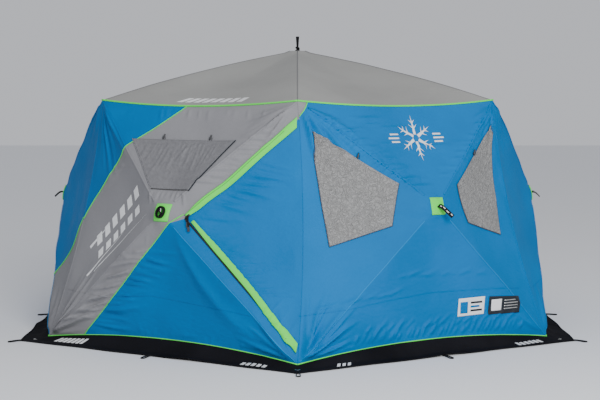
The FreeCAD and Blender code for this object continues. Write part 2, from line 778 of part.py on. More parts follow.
def grommet(radius):
    ring = Part.makeCylinder(GROMMET_RING_RADIUS, GROMMET_HEIGHT, Vector(radius, 0, 0.5), UP)
    foot = Vector(radius, 0, -CUT_DEPTH)
    return ring.cut(Part.makeCylinder(GROMMET_BORE_RADIUS, 2 * CUT_DEPTH, foot, UP))


def make_grommets():
    rings = []
    for index in range(SIDES):
        rings.append(turned(grommet(CORNER_GROMMET_RADIUS), -90 + 60 * index))
        rings.append(turned(grommet(SIDE_GROMMET_RADIUS), wall_angle(1 + index)))
    save("skirt_grommets", rings)


def anchor_loop(radius):
    """A loop of thin cord lying on the ice, pointing out from the skirt's edge."""
    foot = Vector(radius + LOOP_GAP, -LOOP_WIDTH / 2, 0)
    outer = Part.makeBox(LOOP_LENGTH, LOOP_WIDTH, LOOP_CORD, foot)
    opening = (LOOP_LENGTH - 2 * LOOP_CORD, LOOP_WIDTH - 2 * LOOP_CORD, LOOP_CORD)
    inner = Part.makeBox(*opening, foot + Vector(LOOP_CORD, LOOP_CORD, 0))
    return outer.cut(inner)


def make_anchor_loops():
    loops = []
    for index in range(SIDES):
        loops.append(turned(anchor_loop(SKIRT_CORNER_RADIUS), -90 + 60 * index))
        loops.append(turned(anchor_loop(SKIRT_APOTHEM), wall_angle(1 + index)))
    save("anchor_loops", loops)


make_walls()
for wall_number in range(1, SIDES + 1):
    make_wall_hub(wall_number)
    make_wall_poles(wall_number)
make_roof()
make_door()
make_windows()
make_piping()
make_brackets()
make_skirt()
make_grommets()
make_anchor_loops()
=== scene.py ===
"""Looks of the six-sided hub shelter: tensioned cloth, piping, zips, straps and skirt.

Metres, in the row frame. Every wall is drawn in its own flat coordinates: u along the wall
from left to right seen from outside, s up the slope of the wall plane, and depth outwards.
"""
import json
import math

import bmesh
import bpy
import numpy as np
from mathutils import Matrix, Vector


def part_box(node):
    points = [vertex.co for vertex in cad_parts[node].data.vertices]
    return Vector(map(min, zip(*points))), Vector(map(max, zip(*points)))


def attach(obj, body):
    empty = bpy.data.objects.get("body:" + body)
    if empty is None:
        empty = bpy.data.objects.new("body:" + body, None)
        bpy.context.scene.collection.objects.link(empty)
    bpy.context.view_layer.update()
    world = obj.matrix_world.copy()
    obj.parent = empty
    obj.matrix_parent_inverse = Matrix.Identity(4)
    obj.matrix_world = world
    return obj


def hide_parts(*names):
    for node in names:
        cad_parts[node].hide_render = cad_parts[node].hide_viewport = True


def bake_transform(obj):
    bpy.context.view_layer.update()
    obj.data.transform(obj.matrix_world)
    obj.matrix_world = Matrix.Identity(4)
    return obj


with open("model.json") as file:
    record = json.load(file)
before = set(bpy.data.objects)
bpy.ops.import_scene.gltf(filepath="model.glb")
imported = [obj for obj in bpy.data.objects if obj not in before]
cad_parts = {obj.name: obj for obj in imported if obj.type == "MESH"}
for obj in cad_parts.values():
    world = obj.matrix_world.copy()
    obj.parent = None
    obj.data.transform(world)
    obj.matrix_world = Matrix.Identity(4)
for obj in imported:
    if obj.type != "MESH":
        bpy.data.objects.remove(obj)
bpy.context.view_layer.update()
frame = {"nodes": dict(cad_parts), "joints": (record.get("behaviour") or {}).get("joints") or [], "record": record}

JOINTS = {joint["name"]: joint for joint in frame["joints"]}
COUPLINGS = {
    coupling["joint"]: coupling["ratio"]
    for coupling in frame["record"]["behaviour"]["couplings"]
}
ROOT = "shelter_body"
FRONT_SEAM = ((1, 1), (2, -1))  # the front corner, as wall number and side
SIDES = 6
HALF_SECTOR = math.pi / SIDES
UP = np.array([0.0, 0.0, 1.0])

EAVE_SAG = 0.040                # middle of an eave below its corners
BASE_LIFT = 0.062               # middle of a wall's foot above its corners
SEAM_BOW = 0.055                # middle of a corner seam inside the line of its ends
POLE_BOW = 0.014                # outward bow of a pole under load
CLOTH_SAG = 0.010               # cloth drawn in between two poles
FOLD_GAIN = 1.8                 # deepens every fold in the walls
FRONT_WANDER = 0.033            # the front corner seam leans aside in its middle
HUB_ASIDE = {2: 0.030}          # cloth that has crept sideways over its hub
HUB_PLATE = 0.044               # radius that the clamp holds flat
FINE_STEP = 0.009               # mesh spacing of the two near walls
PLAIN_STEP = 0.014              # mesh spacing of the others


# ---------------------------------------------------------------- materials
class Look:
    """A new Principled material, with short ways to build up its nodes."""

    def __init__(self, name, colour, roughness, **sockets):
        self.material = bpy.data.materials.new(name)
        self.material.use_nodes = True
        self.nodes = self.material.node_tree.nodes
        self.links = self.material.node_tree.links
        self.place = self.nodes.new("ShaderNodeTexCoord").outputs["Object"]
        self.shader = self.nodes["Principled BSDF"]
        self.wire(self.shader, Base_Color=(*colour, 1), Roughness=roughness, **sockets)

    def wire(self, node, **sockets):
        """Set a node's sockets, or link those whose value is another node's output."""
        for socket, value in sockets.items():
            entry = node.inputs[socket.replace("_", " ")]
            if isinstance(value, bpy.types.NodeSocket):
                self.links.new(value, entry)
            else:
                entry.default_value = value
        return node

    def add(self, kind, **sockets):
        """A new node with its sockets set or linked."""
        return self.wire(self.nodes.new("ShaderNode" + kind), **sockets)

    def noise(self, scale, detail=3.0, stretch=(1, 1, 1)):
        """Noise over the object, drawn out along its axes."""
        place = self.add("Mapping", Vector=self.place, Scale=stretch).outputs["Vector"]
        return self.add("TexNoise", Vector=place, Scale=scale, Detail=detail).outputs["Fac"]

    def weave(self, scale):
        """Crossed threads: two sets of fine bands."""
        both = self.add("Math")
        both.operation = "MAXIMUM"
        for index, direction in enumerate(("X", "Z")):
            wave = self.add("TexWave", Vector=self.place, Scale=scale, Distortion=0.4)
            wave.bands_direction = direction
            self.links.new(wave.outputs["Fac"], both.inputs[index])
        return both.outputs["Value"]

    def ramp(self, amount, dark, light, low=0.35, high=0.65):
        """A colour that runs from dark to light as an amount rises from low to high."""
        node = self.add("ValToRGB", Fac=amount)
        ends = zip(node.color_ramp.elements, (low, high), (dark, light))
        for element, position, colour in ends:
            element.position = position
            element.color = (*colour, 1)
        return node.outputs["Color"]

    def mix(self, kind, amount, first, second):
        """Two colours added or multiplied."""
        node = self.add("MixRGB", Fac=amount, Color1=first, Color2=second)
        node.blend_type = kind
        return node.outputs["Color"]

    def paint(self, colour):
        """Let a node's output set the colour."""
        self.wire(self.shader, Base_Color=colour)

    def bump(self, height, strength, distance):
        """Relief on the surface, over what it has already."""
        node = self.add("Bump", Height=height, Strength=strength, Distance=distance)
        surface = self.shader.inputs["Normal"]
        if surface.is_linked:
            self.wire(node, Normal=surface.links[0].from_socket)
        self.wire(self.shader, Normal=node.outputs["Normal"])


def scaled(colour, factor):
    """A colour made darker or lighter."""
    return tuple(min(1.0, channel * factor) for channel in colour)


def cloth(name, colour, roughness=0.62, crinkle=0.35, variation=0.07, shine=0.10):
    """Coated polyester: fine weave, small creases, and a slow drift of colour."""
    look = Look(name, colour, roughness, Specular_IOR_Level=shine)
    look.paint(look.ramp(look.noise(2.2, 4.0), scaled(colour, 1 - variation),
                         scaled(colour, 1 + variation)))
    look.bump(look.noise(26.0, 5.0, (1.0, 1.0, 1.7)), crinkle, 0.006)
    look.bump(look.weave(260.0), 0.12, 0.0006)
    return look.material


def crinkled_cloth(name, colour, strength=0.45):
    """Thin cover cloth, full of small sharp creases, with painted shade darkening the colour along each crease."""
    look = Look(name, colour, 0.6, Specular_IOR_Level=0.15)
    warp = look.add("TexNoise", Vector=look.place, Scale=16.0, Detail=4.0)
    warped = look.mix("ADD", 0.17, look.place, warp.outputs["Color"])
    cells = look.add("TexVoronoi")
    cells.feature = "DISTANCE_TO_EDGE"
    look.wire(cells, Vector=warped, Scale=33.0)
    from_crease = cells.outputs["Distance"]
    small = look.noise(45.0, 5.0)
    mottled = look.ramp(small, scaled(colour, 0.92), scaled(colour, 1.06))
    # Painted shade: the colour is multiplied darker along each crease line.
    lines = look.ramp(from_crease, (0.36, 0.36, 0.36), (1.0, 1.0, 1.0), 0.0, 0.13)
    look.paint(look.mix("MULTIPLY", strength, mottled, lines))
    look.bump(from_crease, 2 * strength, 0.018)
    look.bump(small, strength, 0.004)
    return look.material


def webbing_material(name, colour):
    """Woven strap: coarse ribs across, soft shine."""
    look = Look(name, colour, 0.7, Specular_IOR_Level=0.12)
    ribs = look.weave(110.0)
    look.paint(look.ramp(ribs, scaled(colour, 0.6), scaled(colour, 1.3), 0.2, 0.9))
    look.bump(ribs, 0.5, 0.0012)
    return look.material


def moulded(name, colour, roughness=0.45, grain=0.12, metallic=0.0):
    """Moulded plastic or plain metal with a fine grain and slight wear."""
    look = Look(name, colour, roughness, Metallic=metallic)
    look.paint(look.ramp(look.noise(22.0), scaled(colour, 0.85), scaled(colour, 1.2)))
    look.bump(look.noise(320.0, 2.0), grain, 0.0008)
    return look.material


def film_material(name):
    """Clear window film with a faint haze."""
    look = Look(name, (0.78, 0.84, 0.88), 0.12, Alpha=0.35)
    look.bump(look.noise(5.0, 2.0), 0.2, 0.004)
    return look.material


BLUE = cloth("cloth_blue", (0.0, 0.132, 0.365), crinkle=0.45)
GREY = cloth("cloth_grey", (0.217, 0.217, 0.230), variation=0.05)
ROOF = cloth("cloth_roof", (0.285, 0.285, 0.274), variation=0.05, crinkle=0.25)
BLACK = cloth("cloth_black", (0.008, 0.008, 0.010), roughness=0.85, crinkle=0.6,
              variation=0.3, shine=0.04)
GREEN = cloth("trim_green", (0.10, 0.72, 0.08), roughness=0.55, crinkle=0.2, variation=0.06)
COVER = crinkled_cloth("cover_grey", (0.265, 0.265, 0.262))
DARK_COVER = crinkled_cloth("cover_dark", (0.165, 0.165, 0.175), 0.10)
# Dark edge cords of the covers: partly bound edge, partly painted shadow just outside the cover's edge.
BINDING_AND_SHADE = cloth("cover_binding_and_shade", (0.075, 0.072, 0.07), variation=0.15)
WHITE = cloth("print_white", (0.72, 0.73, 0.74), roughness=0.5, crinkle=0.3, variation=0.08)
INK = cloth("print_dark", (0.02, 0.024, 0.03), roughness=0.5, crinkle=0.3, variation=0.2)
STRAP = webbing_material("webbing_black", (0.008, 0.008, 0.009))
STRIPE = webbing_material("webbing_white", (0.6, 0.6, 0.6))
PLASTIC = moulded("hub_plastic", (0.03, 0.031, 0.034))
POLE = moulded("pole_fibreglass", (0.035, 0.035, 0.04), roughness=0.3, grain=0.05)
STEEL = moulded("grommet_steel", (0.55, 0.55, 0.53), roughness=0.35, metallic=1.0)
BLACK_METAL = moulded("zip_metal", (0.04, 0.04, 0.042), roughness=0.4, metallic=0.6)
FILM = film_material("window_film")
SEAM_BLUE = cloth("seam_blue", (0.006, 0.195, 0.48), variation=0.04)
SEAM_GREY = cloth("seam_grey", (0.25, 0.25, 0.265), variation=0.04)
# The ridge seams' darker grey is partly the seam's own colour and partly painted shade along the ridge.
RIDGE_SEAM_AND_SHADE = cloth("roof_seam_and_shade", (0.17, 0.17, 0.175), variation=0.05)
# Painted shade: a darker copy of the green trim, for the shadow in the upper storm flap's fold.
SHADED_GREEN = cloth("trim_green_shaded", (0.06, 0.42, 0.06), variation=0.04)
THREAD = moulded("thread_pale", (0.30, 0.62, 0.26), roughness=0.7)


# ---------------------------------------------------------------- mesh helpers
def make_object(name, vertices, faces, material, smooth=True):
    """A mesh piece with its material, or materials."""
    mesh = bpy.data.meshes.new(name)
    mesh.from_pydata([tuple(vertex) for vertex in vertices], [], [tuple(f) for f in faces])
    mesh.update()
    if smooth:
        mesh.shade_smooth()
    piece = bpy.data.objects.new(name, mesh)
    bpy.context.scene.collection.objects.link(piece)
    for entry in material if isinstance(material, (list, tuple)) else [material]:
        mesh.materials.append(entry)
    return piece


def blended(piece, weights):
    """Bake a piece's transform into its mesh. The weights are not used."""
    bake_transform(piece)
    return piece


def soft_maximum(first, second, softness):
    """The larger of two values, rounded where they cross."""
    return 0.5 * (first + second + np.sqrt((first - second) ** 2 + softness ** 2))


def smoothstep(value, low, high):
    """0 below low, 1 above high, with a smooth rise between."""
    x = np.clip((value - low) / (high - low), 0, 1)
    return x * x * (3 - 2 * x)


def unit(vector):
    """A vector, or each row of vectors, made one long."""
    return vector / np.linalg.norm(vector, axis=-1, keepdims=True)


def band_faces(count, ring, outwards=True):
    """Faces of a closed tube of rings of points, with both its ends capped."""
    faces = []
    for low in range(0, (count - 1) * ring, ring):
        for j in range(ring):
            k = (j + 1) % ring
            quad = (low + j, low + k, low + ring + k, low + ring + j)
            faces.append(quad if outwards else quad[:1] + quad[:0:-1])
    first = tuple(range(ring))
    last = tuple((count - 1) * ring + j for j in range(ring))
    return faces + ([first[::-1], last] if outwards else [first, last[::-1]])


# ---------------------------------------------------------------- folds
class Folds:
    """A set of soft ridges in the cloth, each from one point to another."""

    def __init__(self, seed):
        self.random = np.random.default_rng(seed)
        self.rows = []

    def add(self, start, end, width, height, bend=0.0):
        """One fold, bent aside in its middle by a share of its length."""
        self.rows.append((*start, *end, width, height, bend))

    def fan(self, corner, angle_from, angle_to, count, reach, height, width=0.014):
        """Folds that run out of a corner, between two angles in degrees."""
        for index in range(count):
            share = (index + self.random.uniform(0.2, 0.8)) / count
            angle = math.radians(angle_from + share * (angle_to - angle_from))
            length = reach * self.random.uniform(0.55, 1.0)
            near = self.random.uniform(0.01, 0.04)
            out = np.array([math.cos(angle), math.sin(angle)])
            start = np.array(corner) + out * near
            end = np.array(corner) + out * length
            lift = height * self.random.uniform(0.5, 1.0)
            self.add(start, end, width * self.random.uniform(0.7, 1.4), lift,
                     self.random.uniform(-0.03, 0.03))

    def ripples(self, start, end, direction, count, reach, height, width=0.011):
        """Short folds that run off a line in one direction, given in degrees."""
        for index in range(count):
            share = (index + self.random.uniform(0.1, 0.9)) / count
            turn = math.radians(direction + self.random.uniform(-7, 7))
            out = np.array([math.cos(turn), math.sin(turn)])
            root = np.array(start) + (np.array(end) - np.array(start)) * share
            length = reach * self.random.uniform(0.4, 1.0)
            self.add(root, root + out * length, width * self.random.uniform(0.7, 1.5),
                     height * self.random.uniform(0.4, 1.0), self.random.uniform(-0.04, 0.04))

    def crumple(self, low, high, count, reach, height, width=0.012):
        """Short folds in every direction inside a box."""
        for _ in range(count):
            middle = self.random.uniform(low, high)
            turn = self.random.uniform(0, math.pi)
            half = np.array([math.cos(turn), math.sin(turn)]) * reach * \
                self.random.uniform(0.3, 1.0) / 2
            self.add(middle - half, middle + half, width * self.random.uniform(0.6, 1.5),
                     height * self.random.uniform(-0.8, 1.0), self.random.uniform(-0.1, 0.1))

    def height(self, u, s):
        """How far all the folds together raise the cloth."""
        total = np.zeros_like(u)
        for u0, s0, u1, s1, width, height, bend in self.rows:
            run = np.array([u1 - u0, s1 - s0])
            length = np.linalg.norm(run)
            run = run / length
            along = ((u - u0) * run[0] + (s - s0) * run[1]) / length
            near = (along > 0) & (along < 1)
            t = along[near]
            across = -(u[near] - u0) * run[1] + (s[near] - s0) * run[0]
            across = across - bend * length * 4 * t * (1 - t)
            spread = width * (0.6 + 0.8 * t)
            x = np.abs(across / spread)
            ends = np.sin(math.pi * t ** 0.7) ** 1.2
            total[near] += height * ends * np.exp(-x ** 1.5) * (1 - 0.5 * x * x)
        return total


def drift(u, s, seed, size, height):
    """Slow uneven waves in the cloth."""
    random = np.random.default_rng(seed)
    total = np.zeros_like(u)
    for _ in range(9):
        angle = random.uniform(0, math.pi)
        length = size * random.uniform(0.6, 1.8)
        phase = random.uniform(0, 2 * math.pi)
        wave = (u * math.cos(angle) + s * math.sin(angle)) * 2 * math.pi / length + phase
        total += np.sin(wave) * height / 3
    return total


# ---------------------------------------------------------------- the shape of a wall
class Rim:
    """A wall's edge as seen from a spot inside it: four sides of (u, s, depth) points."""

    def __init__(self, middle, sides):
        """The sides run anticlockwise from the wall's lower left corner."""
        self.middle = middle
        edge = np.concatenate(sides)
        place = np.concatenate([np.linspace(index, index + 1, len(side), endpoint=False)
                                for index, side in enumerate(sides)])
        across = edge[:, 0] - middle[0]
        up = edge[:, 1] - middle[1]
        angle = np.unwrap(np.arctan2(up, across))
        reach = np.hypot(across, up)
        self.angle = np.append(angle, angle[0] + 2 * math.pi)
        self.reach = np.append(reach, reach[0])
        self.depth = np.append(edge[:, 2], edge[0, 2])
        self.place = np.append(place, len(sides))

    def polar(self, u, s):
        """Share of the way from middle to edge, place round the edge, and the edge's depth."""
        angle = np.arctan2(s - self.middle[1], u - self.middle[0])
        first = self.angle[0]
        angle = first + np.mod(angle - first, 2 * math.pi)
        reach = np.interp(angle, self.angle, self.reach)
        place = np.interp(angle, self.angle, self.place)
        depth = np.interp(angle, self.angle, self.depth)
        share = np.hypot(u - self.middle[0], s - self.middle[1]) / reach
        return np.clip(share, 0, 1), place, depth


class Wall:
    """One wall: its frame, its outline, and the shape of its cloth."""

    def __init__(self, number):
        self.number = number
        self.hub_body = "wall_%d_hub" % number
        pop = JOINTS["wall_%d_pop" % number]
        tilt = "wall_%d_poles_upper_tilt" % number
        self.out = -np.array(pop["axis"])
        self.across = unit(np.array([-self.out[1], self.out[0], 0.0]))
        self.slope = np.cross(self.out, self.across)
        self.foot = np.array(JOINTS["wall_%d_poles_lower_tilt" % number]["pos_m"])
        eave = np.array(JOINTS[tilt]["pos_m"])
        self.height = float((eave - self.foot) @ self.slope)
        self.depth = pop["range_m"][1] / 2
        self.hub_s = self.height - self.depth / math.tan(COUPLINGS[tilt] * self.depth)
        self.base_half = math.hypot(*self.foot[:2]) * math.tan(HALF_SECTOR)
        self.eave_half = math.hypot(*eave[:2]) * math.tan(HALF_SECTOR)
        self.lean = math.asin(self.out[2])
        self.hub_u = HUB_ASIDE.get(number, 0.0)
        self.peak = np.array([self.hub_u, self.hub_s])
        self.folds = Folds(number * 11)
        self.trace_edge()

    def seam(self, side, share):
        """The left (-1) or right (1) edge as (u, s, depth), at a share of the way up."""
        bow = SEAM_BOW * 4 * share * (1 - share)
        half = self.base_half + share * (self.eave_half - self.base_half)
        u = side * (half - bow * math.sin(HALF_SECTOR))
        s = share * self.height + bow * math.cos(HALF_SECTOR) * math.sin(self.lean)
        place = np.stack([u, s, -bow * math.cos(HALF_SECTOR) * math.cos(self.lean)], -1)
        if (self.number, side) in FRONT_SEAM:
            aside = FRONT_WANDER * 4 * share * (1 - share)
            sideways = np.array([self.across[0], self.slope[0], self.out[0]])
            place = place + np.asarray(aside)[..., None] * sideways
        return place

    def level_edge(self, s, half, sag, share):
        """Eave or foot: a shallow arc drawn towards the hub."""
        to_hub = unit(np.array([self.hub_s - s, self.depth]))
        pull = sag * (1 - share * share)
        return np.stack([half * share, s + to_hub[0] * pull, to_hub[1] * pull], -1)

    def eave(self, share):
        """The upper edge, from -1 at its left end to 1."""
        return self.level_edge(self.height, self.eave_half, EAVE_SAG, share)

    def foot_edge(self, share):
        """The lower edge, from -1 at its left end to 1."""
        return self.level_edge(0.0, self.base_half, BASE_LIFT, share)

    def trace_edge(self):
        """The edge seen from where the cloth peaks, and from the hub with straight sides too."""
        run = np.linspace(0, 1, 60, endpoint=False)
        curved = [self.foot_edge(2 * run - 1), self.seam(1, run), self.eave(1 - 2 * run),
                  self.seam(-1, 1 - run)]
        straight = [side[0] + run[:, None] * (after[0] - side[0])
                    for side, after in zip(curved, curved[1:] + curved[:1])]
        self.rim = Rim(self.peak, curved)
        self.hub_rim = Rim((0.0, self.hub_s), curved)
        self.facet_rim = Rim((0.0, self.hub_s), straight)

    def polar(self, u, s):
        """Share, place and depth of the rim, seen from where the cloth peaks."""
        return self.rim.polar(u, s)

    def hub_share(self, u, s):
        """How far a point follows the hub: all of it over the clamp, none of it on the edge.

        In between it keeps to the flat facets that the poles and window frames tilt with.
        """
        share = self.hub_rim.polar(u, s)[0]
        level = self.facet_rim.polar(u, s)[0]
        level = level + (share - level) * smoothstep(share, 0.89, 1.0)
        return np.interp(level, (0.045, 0.09, 1.0), (1.0, 0.91, 0.0))

    def surface_depth(self, u, s):
        """How far the cloth stands outside the wall plane."""
        share, place, edge_depth = self.polar(u, s)
        depth = self.depth + (edge_depth - self.depth) * share
        between = place - np.floor(place)
        from_pole = np.minimum(between, 1 - between)
        open_share = 4 * share * (1 - share)
        depth += POLE_BOW * open_share * np.exp(-(from_pole * share / 0.12) ** 2)
        depth -= CLOTH_SAG * open_share * 4 * between * (1 - between)
        from_hub = np.hypot(u, s - self.hub_s)
        plate = self.depth + 0.002 - 0.5 * np.maximum(from_hub - HUB_PLATE, 0)
        depth = soft_maximum(depth, plate, 0.006)
        fade = np.clip((1 - share) / 0.05, 0, 1) * np.clip((from_hub - 0.08) / 0.06, 0, 1)
        creases = (FOLD_GAIN * self.folds.height(u, s)
                   + drift(u, s, self.number, 0.32, 0.0035))
        return depth + creases * fade

    def world(self, place):
        """World points of (u, s, depth) rows."""
        return (self.foot + place[..., :1] * self.across + place[..., 1:2] * self.slope
                + place[..., 2:] * self.out)

    def cloth_point(self, u, s):
        """World place of wall coordinates on the cloth."""
        return self.world(np.stack([u, s, self.surface_depth(u, s)], -1))

    def point(self, u, s, lift=0.0):
        """World place of wall coordinates, lifted off the cloth."""
        u, s = np.broadcast_arrays(np.asarray(u, float), np.asarray(s, float))
        place = self.cloth_point(u, s)
        if np.any(lift):
            place = place + self.normal(u, s) * np.asarray(lift)[..., None]
        return place

    def normal(self, u, s, step=0.006):
        """Which way the cloth faces."""
        du = self.cloth_point(u + step, s) - self.cloth_point(u - step, s)
        ds = self.cloth_point(u, s + step) - self.cloth_point(u, s - step)
        return unit(np.cross(du, ds))

    def at(self, u, z):
        """Wall coordinates of a spot given as distance along the wall and height."""
        s = (z - self.foot[2]) / self.slope[2]
        for _ in range(4):
            depth = self.smooth_depth(u, s)
            s = (z - self.foot[2] - depth * self.out[2]) / self.slope[2]
        return np.array([u, s])

    def smooth_depth(self, u, s):
        """Depth of one spot, with no bows or folds."""
        share, _, edge_depth = self.polar(np.array([u]), np.array([s]))
        return float((self.depth + (edge_depth - self.depth) * share)[0])

    def route(self, spots):
        """Wall coordinates of several spots."""
        return [self.at(u, z) for u, z in spots]


# ---------------------------------------------------------------- cloth laid out flat
def coons(wall, columns, rows):
    """A grid of (u, s) that fills the wall's outline, as columns by rows."""
    a = np.linspace(0, 1, columns + 1)
    b = np.linspace(0, 1, rows + 1)
    foot = wall.foot_edge(2 * a - 1)[:, None, :2]
    eave = wall.eave(2 * a - 1)[:, None, :2]
    left = wall.seam(-1, b)[None, :, :2]
    right = wall.seam(1, b)[None, :, :2]
    a = a[:, None, None]
    b = b[None, :, None]
    sides = (1 - b) * foot + b * eave + (1 - a) * left + a * right
    corners = ((1 - a) * (1 - b) * foot[:1] + a * (1 - b) * foot[-1:]
               + (1 - a) * b * eave[:1] + a * b * eave[-1:])
    return sides - corners


def flat_mesh(grid):
    """A flat mesh over a grid of (u, s) spots."""
    mesh = bmesh.new()
    made = [[mesh.verts.new((*spot, 0)) for spot in column] for column in grid]
    for near, far in zip(made[:-1], made[1:]):
        for j in range(len(near) - 1):
            mesh.faces.new((near[j], far[j], far[j + 1], near[j + 1]))
    return mesh


class FlatCloth:
    """A wall's cloth laid out flat, to be cut before it takes its shape."""

    def __init__(self, wall, step):
        self.wall = wall
        columns = int(round(2 * wall.base_half / step))
        rows = int(round(wall.height / step))
        self.mesh = flat_mesh(coons(wall, columns, rows))

    def cut_along(self, route, margin=0.02):
        """Split faces along a run of straight lines."""
        for start, end in zip(route[:-1], route[1:]):
            run = np.array(end) - np.array(start)
            length = np.linalg.norm(run)
            run = run / length
            faces = []
            for face in self.mesh.faces:
                centre = face.calc_center_median()
                off = np.array([centre.x - start[0], centre.y - start[1]])
                along = off @ run
                across = off[1] * run[0] - off[0] * run[1]
                if -margin < along < length + margin and abs(across) < 0.03:
                    faces.append(face)
            edges = {edge for face in faces for edge in face.edges}
            vertices = {vertex for face in faces for vertex in face.verts}
            bmesh.ops.bisect_plane(
                self.mesh, geom=faces + list(edges) + list(vertices), dist=1e-5,
                plane_co=(*start, 0), plane_no=(-run[1], run[0], 0))

    def centres(self):
        """The middles of the flat faces."""
        return np.array([tuple(face.calc_center_median())[:2] for face in self.mesh.faces])

    def piece(self, name, faces, material, slot, lift=0.0, materials_of=None):
        """A curved sheet from some of the flat faces. Gives the object and its (u, s)."""
        index_of = {}
        flat = []
        made = []
        for face in faces:
            row = []
            for vertex in face.verts:
                if vertex.index not in index_of:
                    index_of[vertex.index] = len(flat)
                    flat.append((vertex.co.x, vertex.co.y))
                row.append(index_of[vertex.index])
            made.append(row)
        flat = np.array(flat)
        place = self.wall.point(flat[:, 0], flat[:, 1], lift)
        sheet = make_object(name, place, made, material)
        if materials_of is not None:
            sheet.data.polygons.foreach_set("material_index", materials_of)
        return sheet, flat


def inside(points, polygon):
    """Which points lie inside a polygon."""
    polygon = np.array(polygon)
    hit = np.zeros(len(points), bool)
    x, y = points[:, 0], points[:, 1]
    for (x0, y0), (x1, y1) in zip(polygon, np.roll(polygon, -1, 0)):
        crosses = (y0 > y) != (y1 > y)
        if y1 != y0:
            hit ^= crosses & (x < (x1 - x0) * (y - y0) / (y1 - y0) + x0)
    return hit


def tube(name, points, radius, material, sides=8):
    """A round cord through points, closed at its ends."""
    points = np.array(points)
    runs = unit(np.gradient(points, axis=0))
    side = unit(np.cross(runs, UP + np.array([0.01, 0.02, 0.0])))
    over = np.cross(side, runs)
    turns = np.linspace(0, 2 * math.pi, sides, endpoint=False)
    vertices = [points[index] + radius * (math.cos(turn) * side[index]
                                          + math.sin(turn) * over[index])
                for index in range(len(points)) for turn in turns]
    return make_object(name, vertices, band_faces(len(points), sides), material)


def along_route(route, step):
    """Evenly spaced points along a run of straight lines."""
    route = np.array(route, float)
    lengths = np.linalg.norm(np.diff(route, axis=0), axis=1)
    total = np.concatenate([[0], np.cumsum(lengths)])
    count = max(int(total[-1] / step), 2)
    t = np.linspace(0, total[-1], count + 1)
    return np.stack([np.interp(t, total, route[:, axis]) for axis in (0, 1)], -1)


# A strip's top as (share of its width, share of its thickness), and how deep its underside is.
STRIP_TOP = ((-0.5, 0.0), (-0.44, 0.8), (0.0, 1.0), (0.44, 0.8), (0.5, 0.0))
STRIP_UNDERSIDE = 0.0008


def raised_strip(name, wall, route, width, material, slot, lift=0.0015, thickness=0.002,
                 step=0.012, taper=None, end_slant=0.0):
    """A flat strip that lies on the wall along a route, with closed edges.

    end_slant cuts the far end at an angle: 1 lets the left edge run on by half the width.
    """
    line = along_route(route, step)
    run = unit(np.gradient(line, axis=0))
    side = np.stack([-run[:, 1], run[:, 0]], -1)
    share = np.linspace(0, 1, len(line))
    widths = np.full(len(line), width) if taper is None else width * taper(share)
    slanted = end_slant * widths * smoothstep(share, 0.7, 1.0)
    section = [(station, lift + thickness * dome) for station, dome in STRIP_TOP]
    section += [(station, lift - STRIP_UNDERSIDE) for station, _ in STRIP_TOP[-2:0:-1]]
    vertices = []
    flat = []
    for station, height in section:
        spots = line + side * (widths * station)[:, None] + run * (slanted * station)[:, None]
        vertices.append(wall.point(spots[:, 0], spots[:, 1], height))
        flat.append(spots)
    place = np.stack(vertices, 1).reshape(-1, 3)
    flat = np.stack(flat, 1).reshape(-1, 2)
    faces = band_faces(len(line), len(section), outwards=False)
    return make_object(name, place, faces, material), flat


def on_wall(piece, flat, wall):
    """Work out how far each point of a piece follows the hub, and bake the piece's transform."""
    return blended(piece, wall.hub_share(flat[:, 0], flat[:, 1]))


def stretched_on_wall(name, wall, outline, material, lift, step=0.012, thickness=0.0):
    """A flat patch or print that follows the cloth, from an outline in (u, s)."""
    outline = np.array(outline, float)
    low, high = outline.min(0), outline.max(0)
    counts = [max(int(extent / step), 1) for extent in high - low]
    across, up = [start + (end - start) * np.arange(count + 1) / count
                  for start, end, count in zip(low, high, counts)]
    cells = flat_mesh([[(u, s) for s in up] for u in across])
    centre = outline.mean(0)
    for start, end in zip(outline, np.roll(outline, -1, 0)):
        run = unit(end - start)
        away = np.array([-run[1], run[0]])
        if away @ (centre - start) > 0:
            away = -away
        bmesh.ops.bisect_plane(
            cells, geom=list(cells.verts) + list(cells.edges) + list(cells.faces), dist=1e-6,
            plane_co=(*start, 0), plane_no=(*away, 0), clear_outer=True)
    cells.verts.index_update()
    flat = np.array([tuple(vertex.co)[:2] for vertex in cells.verts])
    faces = [[vertex.index for vertex in face.verts] for face in cells.faces]
    rim = [[vertex.index for vertex in edge.verts] for edge in cells.edges if edge.is_boundary]
    if callable(lift):
        lift = lift(flat[:, 0], flat[:, 1])
    place = wall.point(flat[:, 0], flat[:, 1], lift)
    if thickness:
        count = len(flat)
        below = wall.point(flat[:, 0], flat[:, 1], lift - thickness)
        place = np.concatenate([place, below])
        faces += [[index + count for index in face[::-1]] for face in faces]
        faces += [[a, b, b + count, a + count] for a, b in rim]
        flat = np.concatenate([flat, flat])
    cells.free()
    piece = make_object(name, place, faces, material)
    fixed = bmesh.new()
    fixed.from_mesh(piece.data)
    bmesh.ops.recalc_face_normals(fixed, faces=fixed.faces)
    fixed.to_mesh(piece.data)
    fixed.free()
    return piece, flat


# ---------------------------------------------------------------- lines and outlines
def node_points(name):
    """A CAD node's vertices."""
    return np.array([vertex.co for vertex in frame["nodes"][name].data.vertices])


def on_the_wall(wall, name):
    """A CAD node's vertices as (u, s) on a wall."""
    off = node_points(name) - wall.foot
    return np.stack([off @ wall.across, off @ wall.slope], -1)


def line_of(wall, name):
    """The two ends of a long thin CAD node, as (u, s), the end nearer the hub first."""
    spots = on_the_wall(wall, name)
    middle = spots.mean(0)
    run = np.linalg.svd(spots - middle, full_matrices=False)[2][0]
    along = (spots - middle) @ run
    ends = [middle + run * along.min(), middle + run * along.max()]
    hub = np.array([0.0, wall.hub_s])
    return sorted(ends, key=lambda end: np.linalg.norm(end - hub))


